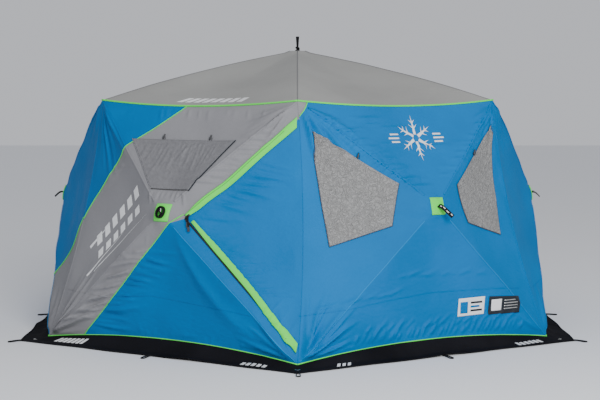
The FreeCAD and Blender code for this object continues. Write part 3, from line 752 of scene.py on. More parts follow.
def corners_of(wall, name):
    """The four corners of a CAD plate on a wall, in order round it."""
    spots = on_the_wall(wall, name)
    corners = []
    for spot in spots:
        if all(np.linalg.norm(spot - other) > 0.03 for other in corners):
            corners.append(spot)
    corners = np.array(corners)
    centre = corners.mean(0)
    turn = np.arctan2(corners[:, 1] - centre[1], corners[:, 0] - centre[0])
    return corners[np.argsort(turn)]


def inset(outline, distance):
    """An outline pushed in by a distance on every side."""
    outline = np.array(outline)
    pushed = []
    for index, point in enumerate(outline):
        before = unit(outline[index - 1] - point)
        after = unit(outline[(index + 1) % len(outline)] - point)
        sine = abs(before[0] * after[1] - before[1] * after[0])
        pushed.append(point + (before + after) * (distance / sine))
    return np.array(pushed)


def crossing(first, second):
    """Where two lines on a wall meet."""
    a, b = first[0], first[1] - first[0]
    c, d = second[0], second[1] - second[0]
    t = ((c[0] - a[0]) * d[1] - (c[1] - a[1]) * d[0]) / (b[0] * d[1] - b[1] * d[0])
    return a + b * t


def stretch_end(start, end, extra):
    """A point beyond the end of a line by an extra length."""
    return np.array(end) + unit(np.array(end) - np.array(start)) * extra


WALLS = {number: Wall(number) for number in range(1, SIDES + 1)}
DOOR_WALL = WALLS[1]
WINDOW_WALL = WALLS[2]
LEFT_WALL = WALLS[6]


# ---------------------------------------------------------------- where things are on the walls
# Spots are (distance along the wall, height above the ice).
BAND_PIPING = ((-0.062, 1.446), (-0.391, 1.215), (-0.557, 1.034), (-0.684, 0.881), (-0.81, 0.698))
FOOT_PIPING = ((0.133, 0.828), (0.057, 0.774), (-0.17, 0.535), (-0.378, 0.31), (-0.599, 0.068))
LEFT_BAND_PIPING = ((0.80, 0.80), (0.74, 0.68), (0.60, 0.45), (0.40, 0.15))
FRONT_TRIANGLE = ((-0.657, 1.472), (-0.735, 1.360))

ZIP_UPPER = line_of(DOOR_WALL, "door_zip_upper")
ZIP_LOWER = line_of(DOOR_WALL, "door_zip_lower")
DOOR_TIP = crossing(ZIP_UPPER, ZIP_LOWER)
HINGE_SHARE = 0.9               # where the door bends, on the way from the hub to the corner
HINGE_BEND = 0.11               # share of that way over which it bends
BEYOND = 1.3                    # a distance along a wall that is past its corners
HEAD = stretch_end(DOOR_TIP, ZIP_UPPER[1], 0.12)
FOOT = stretch_end(DOOR_TIP, ZIP_LOWER[1], 0.12)

# Each window's wall, the body that its hinge moves with, and the spots of its toggles.
WINDOWS = {
    "centre": (DOOR_WALL, "wall_1_poles_upper", ((-0.146, 1.270), (0.190, 1.271))),
    "left": (WINDOW_WALL, "window_frame_left", ((-0.400, 1.173),)),
    "right": (WINDOW_WALL, "window_frame_right", ((0.438, 1.173),)),
}
COVER_FRAME = 0.022             # how far a cover overlaps the cloth round its window


# ---------------------------------------------------------------- creases in the walls
# Each row is a kind of fold, its spots on the wall, and the other values that Folds takes.
DOOR_WALL_CREASES = (
    ("fan", (-0.875, 0.03), 20, 66, 12, 0.62, 0.014, 0.013),
    ("fan", (-0.875, 0.03), 5, 30, 6, 0.40, 0.009, 0.011),
    ("ripples", (-0.06, 0.64), (-0.54, 0.15), 194, 20, 0.34, 0.013, 0.010),
    ("ripples", (-0.10, 0.60), (-0.36, 0.33), -6, 16, 0.28, 0.007, 0.008),
    ("ripples", (-0.36, 0.33), (-0.56, 0.11), 4, 8, 0.34, 0.009, 0.012),
    ("ripples", (-0.45, 0.07), (0.60, 0.06), 62, 10, 0.10, 0.003, 0.009),
    ("fan", (0.875, 0.03), 112, 172, 12, 0.42, 0.009, 0.011),
    ("add", (0.10, 0.71), (0.867, 0.03), 0.05, 0.008, -0.11),
    ("ripples", (0.20, 0.80), (0.55, 1.16), -6, 18, 0.36, 0.006, 0.009),
    ("ripples", (0.23, 0.76), (0.60, 0.37), 6, 16, 0.34, 0.0055, 0.008),
    ("ripples", (0.66, 0.28), (0.83, 0.12), 60, 8, 0.16, 0.006, 0.009),
    ("ripples", (0.30, 1.00), (0.62, 1.31), 184, 16, 0.20, 0.009, 0.009),
    ("fan", (0.70, 1.47), 196, 246, 11, 0.38, 0.010, 0.010),
    ("fan", (-0.70, 1.47), -88, -44, 9, 0.62, 0.008, 0.012),
    ("fan", (-0.70, 1.47), -44, -12, 4, 0.30, 0.004, 0.012),
    ("ripples", (-0.30, 1.44), (0.55, 1.44), -80, 9, 0.12, 0.003, 0.014),
    ("ripples", (-0.40, 1.10), (-0.55, 0.95), 190, 6, 0.16, 0.004, 0.012),
    ("ripples", (-0.13, 0.955), (0.13, 0.955), -90, 9, 0.11, 0.007, 0.009),
    ("crumple", (-0.6, 0.4), (-0.1, 0.9), 16, 0.12, 0.002),
    ("crumple", (-0.2, 0.1), (0.6, 0.5), 14, 0.16, 0.002),
)
WINDOW_WALL_CREASES = (
    ("fan", (-0.70, 1.46), -82, -24, 15, 0.50, 0.012, 0.010),
    ("fan", (0.70, 1.46), 208, 262, 11, 0.38, 0.010, 0.010),
    ("ripples", (-0.62, 1.38), (-0.12, 0.96), 8, 26, 0.26, 0.0085, 0.008),
    ("ripples", (-0.60, 1.34), (-0.14, 0.96), 40, 16, 0.12, 0.0065, 0.008),
    ("ripples", (0.60, 1.36), (0.20, 1.02), 178, 12, 0.20, 0.006, 0.009),
    ("ripples", (-0.45, 1.41), (0.10, 1.18), -2, 10, 0.34, 0.005, 0.011),
    ("fan", (-0.875, 0.03), 6, 78, 18, 0.52, 0.013, 0.010),
    ("fan", (0.875, 0.03), 112, 150, 5, 0.28, 0.005, 0.010),
    ("ripples", (-0.55, 0.095), (0.72, 0.085), 62, 32, 0.13, 0.009, 0.008),
    ("ripples", (-0.50, 0.15), (0.60, 0.15), 38, 14, 0.13, 0.007, 0.009),
    ("ripples", (-0.30, 0.47), (0.35, 0.45), 12, 8, 0.16, 0.004, 0.010),
    ("ripples", (-0.80, 0.30), (-0.30, 0.36), 12, 8, 0.22, 0.005, 0.010),
    ("crumple", (-0.4, 0.35), (0.5, 0.7), 12, 0.16, 0.002),
    ("crumple", (-0.5, 1.0), (0.1, 1.3), 12, 0.14, 0.0025),
)
PLAIN_WALL_CREASES = (
    ("fan", (-0.875, 0.03), 8, 70, 9, 0.42, 0.008, 0.013),
    ("fan", (0.875, 0.03), 110, 172, 9, 0.42, 0.008, 0.013),
    ("fan", (-0.70, 1.46), -80, -22, 8, 0.42, 0.007, 0.013),
    ("fan", (0.70, 1.46), 202, 260, 8, 0.42, 0.007, 0.013),
    ("ripples", (-0.55, 0.09), (0.55, 0.09), 85, 14, 0.10, 0.004, 0.011),
    ("crumple", (-0.5, 0.4), (0.5, 1.2), 24, 0.18, 0.0025),
)


def crease(wall, rows):
    """Add rows of folds to a wall."""
    for kind, *values in rows:
        placed = [wall.at(*value) if isinstance(value, tuple) else value for value in values]
        getattr(wall.folds, kind)(*placed)


crease(DOOR_WALL, DOOR_WALL_CREASES)
crease(WINDOW_WALL, WINDOW_WALL_CREASES)
for number in range(3, SIDES + 1):
    crease(WALLS[number], PLAIN_WALL_CREASES)


def side_of(start, end, point):
    """Above zero for a point to the left of a line, below zero to its right."""
    run = np.array(end) - np.array(start)
    off = np.array(point) - np.array(start)
    return run[0] * off[1] - run[1] * off[0]


def door_column(share):
    """Points on the door at a share of the way from the hub to the seam, zip to zip."""
    run = np.linspace(0.03, 0.97, 60)
    edge = DOOR_WALL.seam(1, run)[:, :2]
    column = DOOR_WALL.peak + (edge - DOOR_WALL.peak) * share
    return np.array([point for point in column if side_of(DOOR_TIP, FOOT, point) > 0
                     and side_of(DOOR_TIP, HEAD, point) < 0])


def stretched_ends(route, first, last):
    """The two ends of a route, each moved outwards."""
    return stretch_end(route[1], route[0], first), stretch_end(route[-2], route[-1], last)


def cut_door_wall(flat):
    """Cut the band and the door into the door wall's cloth. Gives the grey area."""
    band = DOOR_WALL.route(BAND_PIPING)
    foot = DOOR_WALL.route(FOOT_PIPING)
    foot_end = stretch_end(foot[-2], foot[-1], 0.1)
    flat.cut_along(band)
    flat.cut_along(foot[1:] + [foot_end])
    for line in ([foot[1], DOOR_TIP], [DOOR_TIP, HEAD], [DOOR_TIP, FOOT]):
        flat.cut_along(line)
    column = door_column(HINGE_SHARE)
    low, high = stretched_ends(column, 0.05, 0.05)
    flat.cut_along([low, *column[4:-4:4], high])
    top, left = stretched_ends(band, 0.1, 0.1)
    return [top, *band, left, (-BEYOND, left[1]), (-BEYOND, -0.3), (foot_end[0], -0.3), foot_end,
            *foot[:0:-1], DOOR_TIP, HEAD, (BEYOND, HEAD[1]), (BEYOND, 2.0), (top[0], 2.0)]


def cut_window_wall(flat):
    """Cut the front triangle into the window wall's cloth. Gives the grey area."""
    top, low = stretched_ends(WINDOW_WALL.route(FRONT_TRIANGLE), 0.08, 0.08)
    flat.cut_along([top, low])
    return [top, low, (-BEYOND, low[1]), (-BEYOND, 2.0), (top[0], 2.0)]


def cut_left_wall(flat):
    """Cut the far end of the band into the left wall's cloth. Gives the grey area."""
    band = LEFT_WALL.route(LEFT_BAND_PIPING)
    start, end = stretched_ends(band, 0.1, 0.1)
    flat.cut_along([start, *band[1:-1], end])
    return [start, *band, end, (end[0], -0.3), (BEYOND, -0.3), (BEYOND, start[1])]


GREY_CUTS = {1: cut_door_wall, 2: cut_window_wall, 6: cut_left_wall}


def make_wall_cloth(wall):
    """A wall's sheet of cloth, blue and grey, with holes for its windows and its door."""
    flat = FlatCloth(wall, FINE_STEP if wall in (DOOR_WALL, WINDOW_WALL) else PLAIN_STEP)
    grey_area = GREY_CUTS[wall.number](flat) if wall.number in GREY_CUTS else None
    holes = [inset(corners_of(wall, "window_cover_" + name), COVER_FRAME)
             for name, (owner, _, _) in WINDOWS.items() if owner is wall]
    for hole in holes:
        flat.cut_along([*hole, hole[0]], margin=0.0)
    flat.mesh.verts.index_update()
    flat.mesh.faces.index_update()
    centres = flat.centres()
    faces = list(flat.mesh.faces)
    grey = np.zeros(len(faces), int)
    if grey_area:
        grey[inside(centres, grey_area)] = 1
    kept = np.ones(len(faces), bool)
    for hole in holes:
        kept &= ~inside(centres, hole)
    if wall is DOOR_WALL:
        door = inside(centres, [DOOR_TIP, HEAD, (BEYOND, HEAD[1]), (BEYOND, FOOT[1]), FOOT])
        column = door_column(HINGE_SHARE)
        low = stretch_end(column[4], column[0], 0.3)
        high = stretch_end(column[-5], column[-1], 0.3)
        strip = door & inside(centres, [low, *column[::4], column[-1], high, (1.5, high[1]),
                                        (1.5, low[1])])
        make_door_cloth(flat, faces, door & ~strip, strip)
        kept &= ~door
    chosen = [face for face, keep in zip(faces, kept) if keep]
    sheet, spots = flat.piece("wall_%d_cloth" % wall.number, chosen, [BLUE, GREY],
                              "wall_cloth", materials_of=grey[kept])
    on_wall(sheet, spots, wall)
    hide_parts("wall_%d_panel" % wall.number)
    flat.mesh.free()


def hinge_weights(spots, wall):
    """How far a spot on the door follows its swing: not at the hinge, wholly past HINGE_BEND."""
    share = wall.polar(spots[:, 0], spots[:, 1])[0]
    return np.clip((HINGE_SHARE - share) / HINGE_BEND, 0, 1)


def make_door_cloth(flat, faces, leaf, strip):
    """The door's leaf, and the strip of cloth along the corner that it hangs from."""
    wall = DOOR_WALL
    chosen = [face for face, keep in zip(faces, leaf) if keep]
    door, spots = flat.piece("door_leaf_cloth", chosen, BLUE, "door_cloth")
    blended(door, hinge_weights(spots, wall))
    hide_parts("door_flap")
    chosen = [face for face, keep in zip(faces, strip) if keep]
    edge, spots = flat.piece("door_hinge_cloth", chosen, BLUE, "door_cloth")
    share = wall.polar(spots[:, 0], spots[:, 1])[0]
    blended(edge, (1 - share) / (1 - HINGE_SHARE))
    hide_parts("door_hinge_strip")


for wall in WALLS.values():
    make_wall_cloth(wall)


# ---------------------------------------------------------------- piping and seams on the walls
CORD_SIDES = 8
PIPING_RADIUS = 0.003
EDGE_PIPING_RADIUS = 0.0052


def piping_on_wall(name, wall, route):
    """Green piping that follows the wall."""
    line = along_route(route, 0.012)
    points = wall.point(line[:, 0], line[:, 1], 0.002)
    piece = tube(name, points, PIPING_RADIUS, GREEN, CORD_SIDES)
    on_wall(piece, np.repeat(line, CORD_SIDES, axis=0), wall)


def trimmed(wall, route):
    """A route cut off where it leaves the wall's outline."""
    line = along_route(route, 0.004)
    inner = wall.polar(line[:, 0], line[:, 1])[0] < 0.998
    return line[inner]


def make_wall_trim():
    """The piping round the band, and across the front triangle."""
    for name, wall, spots, both_ends in (
        ("band_piping_upper", DOOR_WALL, BAND_PIPING, True),
        ("band_piping_lower", DOOR_WALL, FOOT_PIPING, False),
        ("band_piping_left", LEFT_WALL, LEFT_BAND_PIPING, True),
        ("corner_triangle_piping", WINDOW_WALL, FRONT_TRIANGLE, True),
    ):
        route = wall.route(spots)
        first, last = stretched_ends(route, 0.05, 0.05)
        route = [first if both_ends else route[0], *route[1:-1], last]
        piping_on_wall(name, wall, trimmed(wall, route))


make_wall_trim()


# Right corner seam of a wall, as runs of (from, to, cloth) up the corner.
WHOLE_SEAM = ((0.0, 1.0, BLUE),)
CORNER_SEAMS = {
    1: ((0.0, 0.925, BLUE), (0.925, 1.0, GREY)),
    6: ((0.0, 0.49, GREY), (0.49, 1.0, BLUE)),
}


def make_edge_piping():
    """Piping along every eave and foot, and the seams up the corners."""
    run = np.linspace(-1, 1, 90)
    for number, wall in WALLS.items():
        eave = wall.world(wall.eave(run)) + wall.out * 0.002 + UP * 0.002
        foot = wall.world(wall.foot_edge(run)) + wall.out * 0.002
        for kind, points in (("eave", eave), ("base", foot)):
            piece = tube("%s_piping_%d" % (kind, number), points, EDGE_PIPING_RADIUS, GREEN,
                         10)
            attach(piece, ROOT)
            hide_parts(kind + "_piping")
        for index, (start, stop, tone) in enumerate(CORNER_SEAMS.get(number, WHOLE_SEAM)):
            height = np.linspace(start, stop, int(100 * (stop - start)) + 2)
            seam = tube("corner_seam_%d_%d" % (number, index + 1),
                        wall.world(wall.seam(1, height)), 0.0022, tone)
            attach(seam, ROOT)


make_edge_piping()


# ---------------------------------------------------------------- seams sewn across the walls
def sewn_strip(name, wall, spots, material=BLUE, width=0.005, thickness=0.0009):
    """A low line of folded cloth that follows the wall."""
    strip, flat = raised_strip(name, wall, spots, width, material, "wall_cloth", lift=0.0008,
                               thickness=thickness, step=0.007)
    on_wall(strip, flat, wall)


def pole_line(wall, side, high, start=0.10, end=0.985):
    """From near the hub to near a corner, as (u, s)."""
    corner = wall.seam(side, np.array([1.0 if high else 0.0]))[0, :2]
    return [wall.peak + (corner - wall.peak) * share for share in (start, end)]


def split_at(route, other):
    """A straight route cut in two where it crosses a run of lines."""
    start, end = route
    for first, second in zip(other[:-1], other[1:]):
        meeting = crossing((start, end), (first, second))
        share = (meeting - first) @ (second - first) / ((second - first) @ (second - first))
        if 0 <= share <= 1:
            return [start, meeting], [meeting, end]
    return route, None


CROSS_SEAMS = {
    1: ((-0.36, 0.306), (-0.10, 0.335), (0.30, 0.30), (0.60, 0.27)),
    2: ((-0.84, 0.275), (-0.60, 0.30), (-0.30, 0.335), (0.0, 0.36), (0.35, 0.355),
        (0.72, 0.325)),
    6: ((-0.80, 0.30), (-0.3, 0.345), (0.3, 0.345), (0.50, 0.30)),
}
PLAIN_CROSS_SEAM = ((-0.80, 0.30), (-0.3, 0.345), (0.3, 0.345), (0.80, 0.30))
BAND_CROSS_SEAM = ((-0.80, 0.31), (-0.45, 0.30), (-0.385, 0.304))


def make_sewn_lines():
    """The seams over the poles and the level seam across every wall."""
    band = DOOR_WALL.route(BAND_PIPING)
    for number, wall in WALLS.items():
        for side in (-1, 1):
            name = "%d_%s" % (number, "left" if side < 0 else "right")
            grey = wall is DOOR_WALL and side < 0
            sewn_strip("pole_seam_low_" + name, wall, pole_line(wall, side, False),
                       SEAM_GREY if grey else SEAM_BLUE)
            last = 0.93 if wall is WINDOW_WALL and side < 0 else 0.985
            line = pole_line(wall, side, True, end=last)
            near, far = split_at(line, band) if grey else (line, None)
            sewn_strip("pole_seam_high_" + name, wall, near,
                       GREY if wall is DOOR_WALL else BLUE, 0.014, 0.0010)
            if far is not None:
                sewn_strip("pole_seam_far_" + name, wall, far, BLUE, 0.014, 0.0010)
        if wall is DOOR_WALL:
            sewn_strip("cross_seam_band", wall, wall.route(BAND_CROSS_SEAM), GREY)
        spots = CROSS_SEAMS.get(number, PLAIN_CROSS_SEAM)
        sewn_strip("cross_seam_%d" % number, wall, wall.route(spots))


make_sewn_lines()


# ---------------------------------------------------------------- storm flaps, zips and sliders
UPPER_FLAP = ((0.147, 0.818), (0.251, 0.915), (0.348, 0.998), (0.465, 1.115), (0.550, 1.202),
              (0.660, 1.308), (0.716, 1.366))
LOWER_FLAP = ((0.187, 0.789), (0.262, 0.714), (0.429, 0.555), (0.589, 0.399), (0.749, 0.232),
              (0.880, 0.100))


def upper_taper(share):
    """The upper flap's width along its length."""
    return 0.55 + 0.45 * smoothstep(share, 0.0, 0.12) + 0.15 * smoothstep(share, 0.7, 1.0)


def lower_taper(share):
    """The lower flap's width along its length."""
    return 0.55 + 0.35 * smoothstep(share, 0.0, 0.25) + 0.10 * smoothstep(share, 0.5, 0.9)


def flap_on_door(name, route, width, material=GREEN, lift=0.008, thickness=0.003, **shape):
    """A folded strip over a zip, sewn along one edge and free along the other."""
    strip, flat = raised_strip(name, DOOR_WALL, route, width, material, "green_trim",
                               lift=lift, thickness=thickness, step=0.010, **shape)
    return blended(strip, hinge_weights(flat, DOOR_WALL))


def make_storm_flaps():
    """The two green flaps over the zips, and a thin darker green strip of painted shade along the upper one's
    fold.
    """
    upper = DOOR_WALL.route(UPPER_FLAP)
    flap = flap_on_door("storm_flap_upper_cloth", upper, 0.040, taper=upper_taper,
                        end_slant=1.0)
    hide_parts("storm_flap_upper")
    # Painted shade: a thin darker green strip laid along the upper flap's fold.
    fold = [spot + np.array([-0.0062, 0.0062]) for spot in upper[:-1]]
    flap_on_door("storm_flap_upper_fold_shade", fold, 0.0030, SHADED_GREEN, 0.0118, 0.0009)
    flap = flap_on_door("storm_flap_lower_cloth", DOOR_WALL.route(LOWER_FLAP), 0.039,
                        taper=lower_taper, end_slant=-1.0)
    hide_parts("storm_flap_lower")


make_storm_flaps()


# ---------------------------------------------------------------- roof
ROOF_TOP = float(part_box("roof_hub")[1][2]) - 0.004
ROOF_REACH = 1.42               # from the axis to a corner of the eave
ROOF_PLATE = 0.056              # radius that the roof hub's clamp holds flat
ROOF_BOW = 0.025                # outward bow of a roof pole under load
ROOF_SAG = 0.014                # cloth drawn in between two roof poles
ROOF_COLUMNS = 56               # mesh columns along each eave
ROOF_ROWS = 70                  # mesh rows from the apex to the eave


def roof_share(out):
    """How far the roof follows its hub, at a share of the way from the apex to the eave."""
    return np.interp(out, (0.0, 0.04, 0.085, 1.0), (1.0, 1.0, 0.915, 0.0))


def roof_ring(out, rim, off_ridge, bumps):
    """The roof's points all the way round, at a share of the way from the apex to the eave."""
    apex = np.array([0, 0, ROOF_TOP])
    ring = apex + (rim - apex) * out
    open_share = 4 * out * (1 - out)
    ring[:, 2] += ROOF_BOW * open_share * np.exp(-(off_ridge * out / 0.30) ** 2)
    ring[:, 2] -= ROOF_SAG * open_share * (1 - (1 - off_ridge) ** 2)
    reach = np.hypot(ring[:, 0], ring[:, 1])
    plate = ROOF_TOP - 0.45 * np.maximum(reach - ROOF_PLATE, 0)
    ring[:, 2] = soft_maximum(ring[:, 2], plate, 0.006)
    angle = np.arctan2(ring[:, 1], ring[:, 0])
    for turn, place, size, lift in bumps:
        along = (reach - place * ROOF_REACH) / size
        aside = np.sin((angle - turn) / 2) * 2 * reach / size
        ring[:, 2] += lift * np.exp(-along ** 2 - aside ** 2) * min(1, (1 - out) / 0.05)
    pucker = 0.003 * np.sin(off_ridge * 95 + out * 4) * np.exp(-off_ridge / 0.10)
    ring[:, 2] += pucker * smoothstep(out, 0.55, 0.97) * min(1, (1 - out) / 0.02)
    return ring


def make_roof():
    """Six gores of cloth with a seam on every ridge, drawn darker than the roof partly as painted shade. Gives the
    roof's grid of points.
    """
    slots = SIDES * ROOF_COLUMNS
    run = np.linspace(-1, 1, ROOF_COLUMNS, endpoint=False)
    rim = np.concatenate([wall.world(wall.eave(run)) for wall in WALLS.values()])
    off_ridge = np.tile(1 - np.abs(run), SIDES)
    random = np.random.default_rng(5)
    bumps = [(random.uniform(0, 2 * math.pi), random.uniform(0.25, 0.95),
              random.uniform(0.05, 0.11), random.uniform(-0.003, 0.004)) for _ in range(40)]
    outs = np.arange(1, ROOF_ROWS + 1) / ROOF_ROWS
    grid = np.array([roof_ring(out, rim, off_ridge, bumps) for out in outs])
    faces = [(0, 1 + slot, 1 + (slot + 1) % slots) for slot in range(slots)]
    for low in range(1, (ROOF_ROWS - 1) * slots, slots):
        for slot in range(slots):
            after = (slot + 1) % slots
            faces.append((low + slot, low + slots + slot, low + slots + after, low + after))
    vertices = np.concatenate([[(0, 0, ROOF_TOP)], grid.reshape(-1, 3)])
    roof = make_object("roof_cloth", vertices, faces, ROOF)
    blended(roof, roof_share(np.append(0.0, np.repeat(outs, slots))))
    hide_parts("roof_canopy")
    # Ridge seams drawn darker than the roof, partly as painted shade.
    for index in range(SIDES):
        line = grid[2::2, index * ROOF_COLUMNS] + UP * 0.0006
        seam = tube("ridge_seam_%d" % (index + 1), line, 0.0026, RIDGE_SEAM_AND_SHADE)
        blended(seam, np.repeat(roof_share(outs[2::2]), CORD_SIDES))
    return grid


ROOF_GRID = make_roof()


# ---------------------------------------------------------------- skirt
SKIRT_STEPS = 120
SKIRT_ROWS = 16
SKIRT_REACH = float(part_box("snow_skirt")[1][1])     # from the axis to a corner of the skirt


def make_skirt_side(number, wall, random):
    """A side of the skirt, lying on the ice with small waves. Gives its grid of points."""
    run = np.linspace(-1, 1, SKIRT_STEPS)
    ends = 1 - run ** 6
    inner = wall.world(wall.foot_edge(run))
    flat_out = unit(np.array([wall.out[0], wall.out[1], 0.0]))
    apothem = SKIRT_REACH * math.cos(HALF_SECTOR)
    half = SKIRT_REACH * math.sin(HALF_SECTOR)
    rim = flat_out * apothem + np.outer(run * half, wall.across)
    phases = random.uniform(0, 2 * math.pi, 6)
    lifted = np.exp(-((run - 0.45 + 0.2 * (number % 3)) / 0.10) ** 2)
    wander = 0.004 * np.sin(run * 13 + phases[0]) * ends
    rows = []
    for t in np.arange(SKIRT_ROWS + 1) / SKIRT_ROWS:
        ripple = sum(np.sin(run * (9 + 7 * k) + phase + t * 2.2) / (1 + 0.6 * k)
                     for k, phase in enumerate(phases))
        height = (inner[:, 2] - 0.004) * (1 - smoothstep(t, 0.0, 0.62)) + 0.0035
        height += 0.0022 * ends * (ripple * math.sin(math.pi * min(1, t * 1.15)) + 1.6)
        height += 0.008 * lifted * ends * t ** 3
        ring = inner * (1 - t) + rim * t
        ring[:, 2] = height
        rows.append(ring + np.outer(wander * t, flat_out))
    faces = []
    for row in range(0, SKIRT_ROWS * SKIRT_STEPS, SKIRT_STEPS):
        for a in range(row, row + SKIRT_STEPS - 1):
            faces.append((a, a + SKIRT_STEPS, a + SKIRT_STEPS + 1, a + 1))
    skirt = make_object("skirt_side_%d" % number, np.concatenate(rows), faces, BLACK)
    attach(skirt, ROOT)
    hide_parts("snow_skirt")
    edge = tube("skirt_hem_%d" % number, rows[-1] + UP * 0.0012, 0.003, BLACK)
    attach(edge, ROOT)
    return np.array(rows)


SKIRT_RANDOM = np.random.default_rng(9)
SKIRT_GRIDS = {number: make_skirt_side(number, wall, SKIRT_RANDOM)
               for number, wall in WALLS.items()}


# ---------------------------------------------------------------- marks on roof and skirt
def grid_point(grid, row, column):
    """A place on a grid of points, between its rows and columns."""
    row = min(max(row, 0.0), len(grid) - 1.001)
    column = min(max(column, 0.0), len(grid[0]) - 1.001)
    i, j = int(row), int(column)
    a, b = row - i, column - j
    near = grid[i][j] * (1 - b) + grid[i][j + 1] * b
    far = grid[i + 1][j] * (1 - b) + grid[i + 1][j + 1] * b
    return near * (1 - a) + far * a


def grid_dashes(name, grid, rows, columns, count, lift=0.0012):
    """White slanted dashes on a roof or skirt grid, between two rows and two columns."""
    made = []
    step = (columns[1] - columns[0]) / count
    for index in range(count):
        start = columns[0] + step * index
        spots = [(rows[1], start), (rows[1], start + step * 0.6),
                 (rows[0], start + step * 0.95), (rows[0], start + step * 0.35)]
        corners = [grid_point(grid, row, column) for row, column in spots]
        face = np.cross(corners[1] - corners[0], corners[2] - corners[0])
        up = unit(face) * (1 if face[2] > 0 else -1) * lift
        vertices = [corner + up for corner in corners] + [corner - up for corner in corners]
        faces = [(0, 1, 2, 3), (7, 6, 5, 4), (0, 4, 5, 1), (1, 5, 6, 2), (2, 6, 7, 3),
                 (3, 7, 4, 0)]
        made.append(make_object("%s_%d" % (name, index + 1), vertices, faces, WHITE,
                                smooth=False))
    return made


# Rows of skirt dashes: side, start and end along it, how many, and start on the way out.
SKIRT_DASHES = ((1, 0.085, 0.205, 7, 0.28), (1, 0.80, 0.89, 5, 0.50), (2, 0.13, 0.185, 3, 0.50),
                (2, 0.80, 0.905, 6, 0.45), (4, 0.45, 0.55, 6, 0.45))
SKIRT_DASH_REACH = 0.26         # share of the skirt's width that a dash covers


def make_roof_and_skirt_marks():
    """Rows of dashes on the roof's front edge and on the skirt."""
    near, far = 0.845, 0.915
    rows = (near * ROOF_ROWS, far * ROOF_ROWS)
    for dash in grid_dashes("roof_dash", ROOF_GRID, rows, (20.0, 41.0), 8):
        weights = roof_share(np.array([far, far, near, near]))
        blended(dash, np.tile(weights, 2))
    for index, (number, start, end, count, inner) in enumerate(SKIRT_DASHES):
        grid = SKIRT_GRIDS[number]
        rows = (inner * SKIRT_ROWS, (inner + SKIRT_DASH_REACH) * SKIRT_ROWS)
        columns = (start * SKIRT_STEPS, end * SKIRT_STEPS)
        name = "skirt_dash_%d" % (index + 1)
        for dash in grid_dashes(name, grid, rows, columns, count):
            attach(dash, ROOT)


make_roof_and_skirt_marks()


# ---------------------------------------------------------------- windows and their covers
def make_window_film(name, wall, body, outline):
    """Clear film behind the opening, a little larger than it."""
    pane, _ = stretched_on_wall("window_pane_" + name, wall, inset(outline, 0.008), FILM,
                                -0.004, step=0.02)
    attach(pane, body)
    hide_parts("window_film_" + name)


def make_window_cover(name, wall, outline, seed):
    """Thin crumpled cloth, hemmed all round, over a window."""
    crumples = Folds(seed)
    low, high = outline.min(0), outline.max(0)
    left, foot = low
    right, top = high
    if name == "centre":
        crumples.crumple(low, high, 70, 0.10, 0.0022, 0.008)
        crumples.ripples((left + 0.1, top - 0.01), (right - 0.1, top - 0.01), -100, 18, 0.30,
                         0.0055, 0.007)
        crumples.ripples((left + 0.1, foot + 0.02), (right - 0.2, top - 0.03), 62, 12, 0.20,
                         0.005, 0.007)
    else:
        crumples.crumple(low, high, 420, 0.075, 0.0052, 0.0065)
        crumples.ripples((left + 0.05, foot + 0.1), (left + 0.05, top - 0.1), 20, 10, 0.16,
                         0.003, 0.008)

    def rise(u, s):
        """How far the cover stands off the wall's cloth."""
        edge = distance_inside(outline, u, s)
        free = smoothstep(edge, 0.006, 0.03)
        hem = 0.0012 * (1 - smoothstep(edge, 0.008, 0.012))
        return 0.0055 + hem + free * (0.0015 + crumples.height(u, s))

    tone = DARK_COVER if name == "centre" else COVER
    cover, _ = stretched_on_wall("window_cover_cloth_" + name, wall, outline, tone,
                                 rise, step=0.0075, thickness=0.0016)
    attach(cover, "window_cover_" + name)
    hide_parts("window_cover_" + name)


def distance_inside(outline, u, s):
    """Distance to the nearest edge of a convex outline, for spots inside it."""
    centre = np.mean(outline, axis=0)
    nearest = np.full(np.shape(u), 9.0)
    for start, end in zip(outline, np.roll(outline, -1, 0)):
        run = unit(end - start)
        inward = np.array([-run[1], run[0]])
        if inward @ (centre - start) < 0:
            inward = -inward
        nearest = np.minimum(nearest, (u - start[0]) * inward[0] + (s - start[1]) * inward[1])
    return nearest


def make_cover_edge(name, wall, start, end, body, radius=0.0013, material=BINDING_AND_SHADE):
    """The zip or bound edge along one side of a cover; the dark bound edges also stand for painted shadow just
    under the cover's edge.
    """
    line = along_route([start, end], 0.012)
    coil = tube("cover_zip_" + name, wall.point(line[:, 0], line[:, 1], 0.0045), radius,
                material)
    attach(coil, body)


# A toggle's barrel, as (share of its half length, radius).
BARREL = ((-1.0, 0.0030), (-0.9, 0.0048), (-0.4, 0.0054), (0.0, 0.0046), (0.4, 0.0054),
          (0.9, 0.0048), (1.0, 0.0030))
BARREL_HALF = 0.016
BARREL_SIDES = 12


def make_toggle(name, wall, spot, body):
    """A moulded barrel on a short loop of cord."""
    u, s = wall.at(*spot)
    centre = wall.point(u, s, 0.010)
    lean = unit(wall.slope * 0.9 + wall.across * 0.35)
    points = np.array([centre + lean * BARREL_HALF * along for along, _ in BARREL])
    barrel = tube("toggle_" + name, points, 1.0, PLASTIC, BARREL_SIDES)
    place = np.array([vertex.co for vertex in barrel.data.vertices])
    middle = np.repeat(points, BARREL_SIDES, axis=0)
    radius = np.repeat([radius for _, radius in BARREL], BARREL_SIDES)
    place = middle + (place - middle) * radius[:, None]
    barrel.data.vertices.foreach_set("co", place.ravel())
    barrel.data.update()
    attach(barrel, body)
    loop = [centre + wall.across * 0.010 * math.cos(turn) - wall.slope * 0.022 * math.sin(turn)
            - wall.normal(u, s) * 0.006 * math.sin(turn) for turn in np.linspace(0, math.pi, 14)]
    cord = tube("toggle_cord_" + name, loop, 0.0013, INK)
    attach(cord, body)
    return barrel


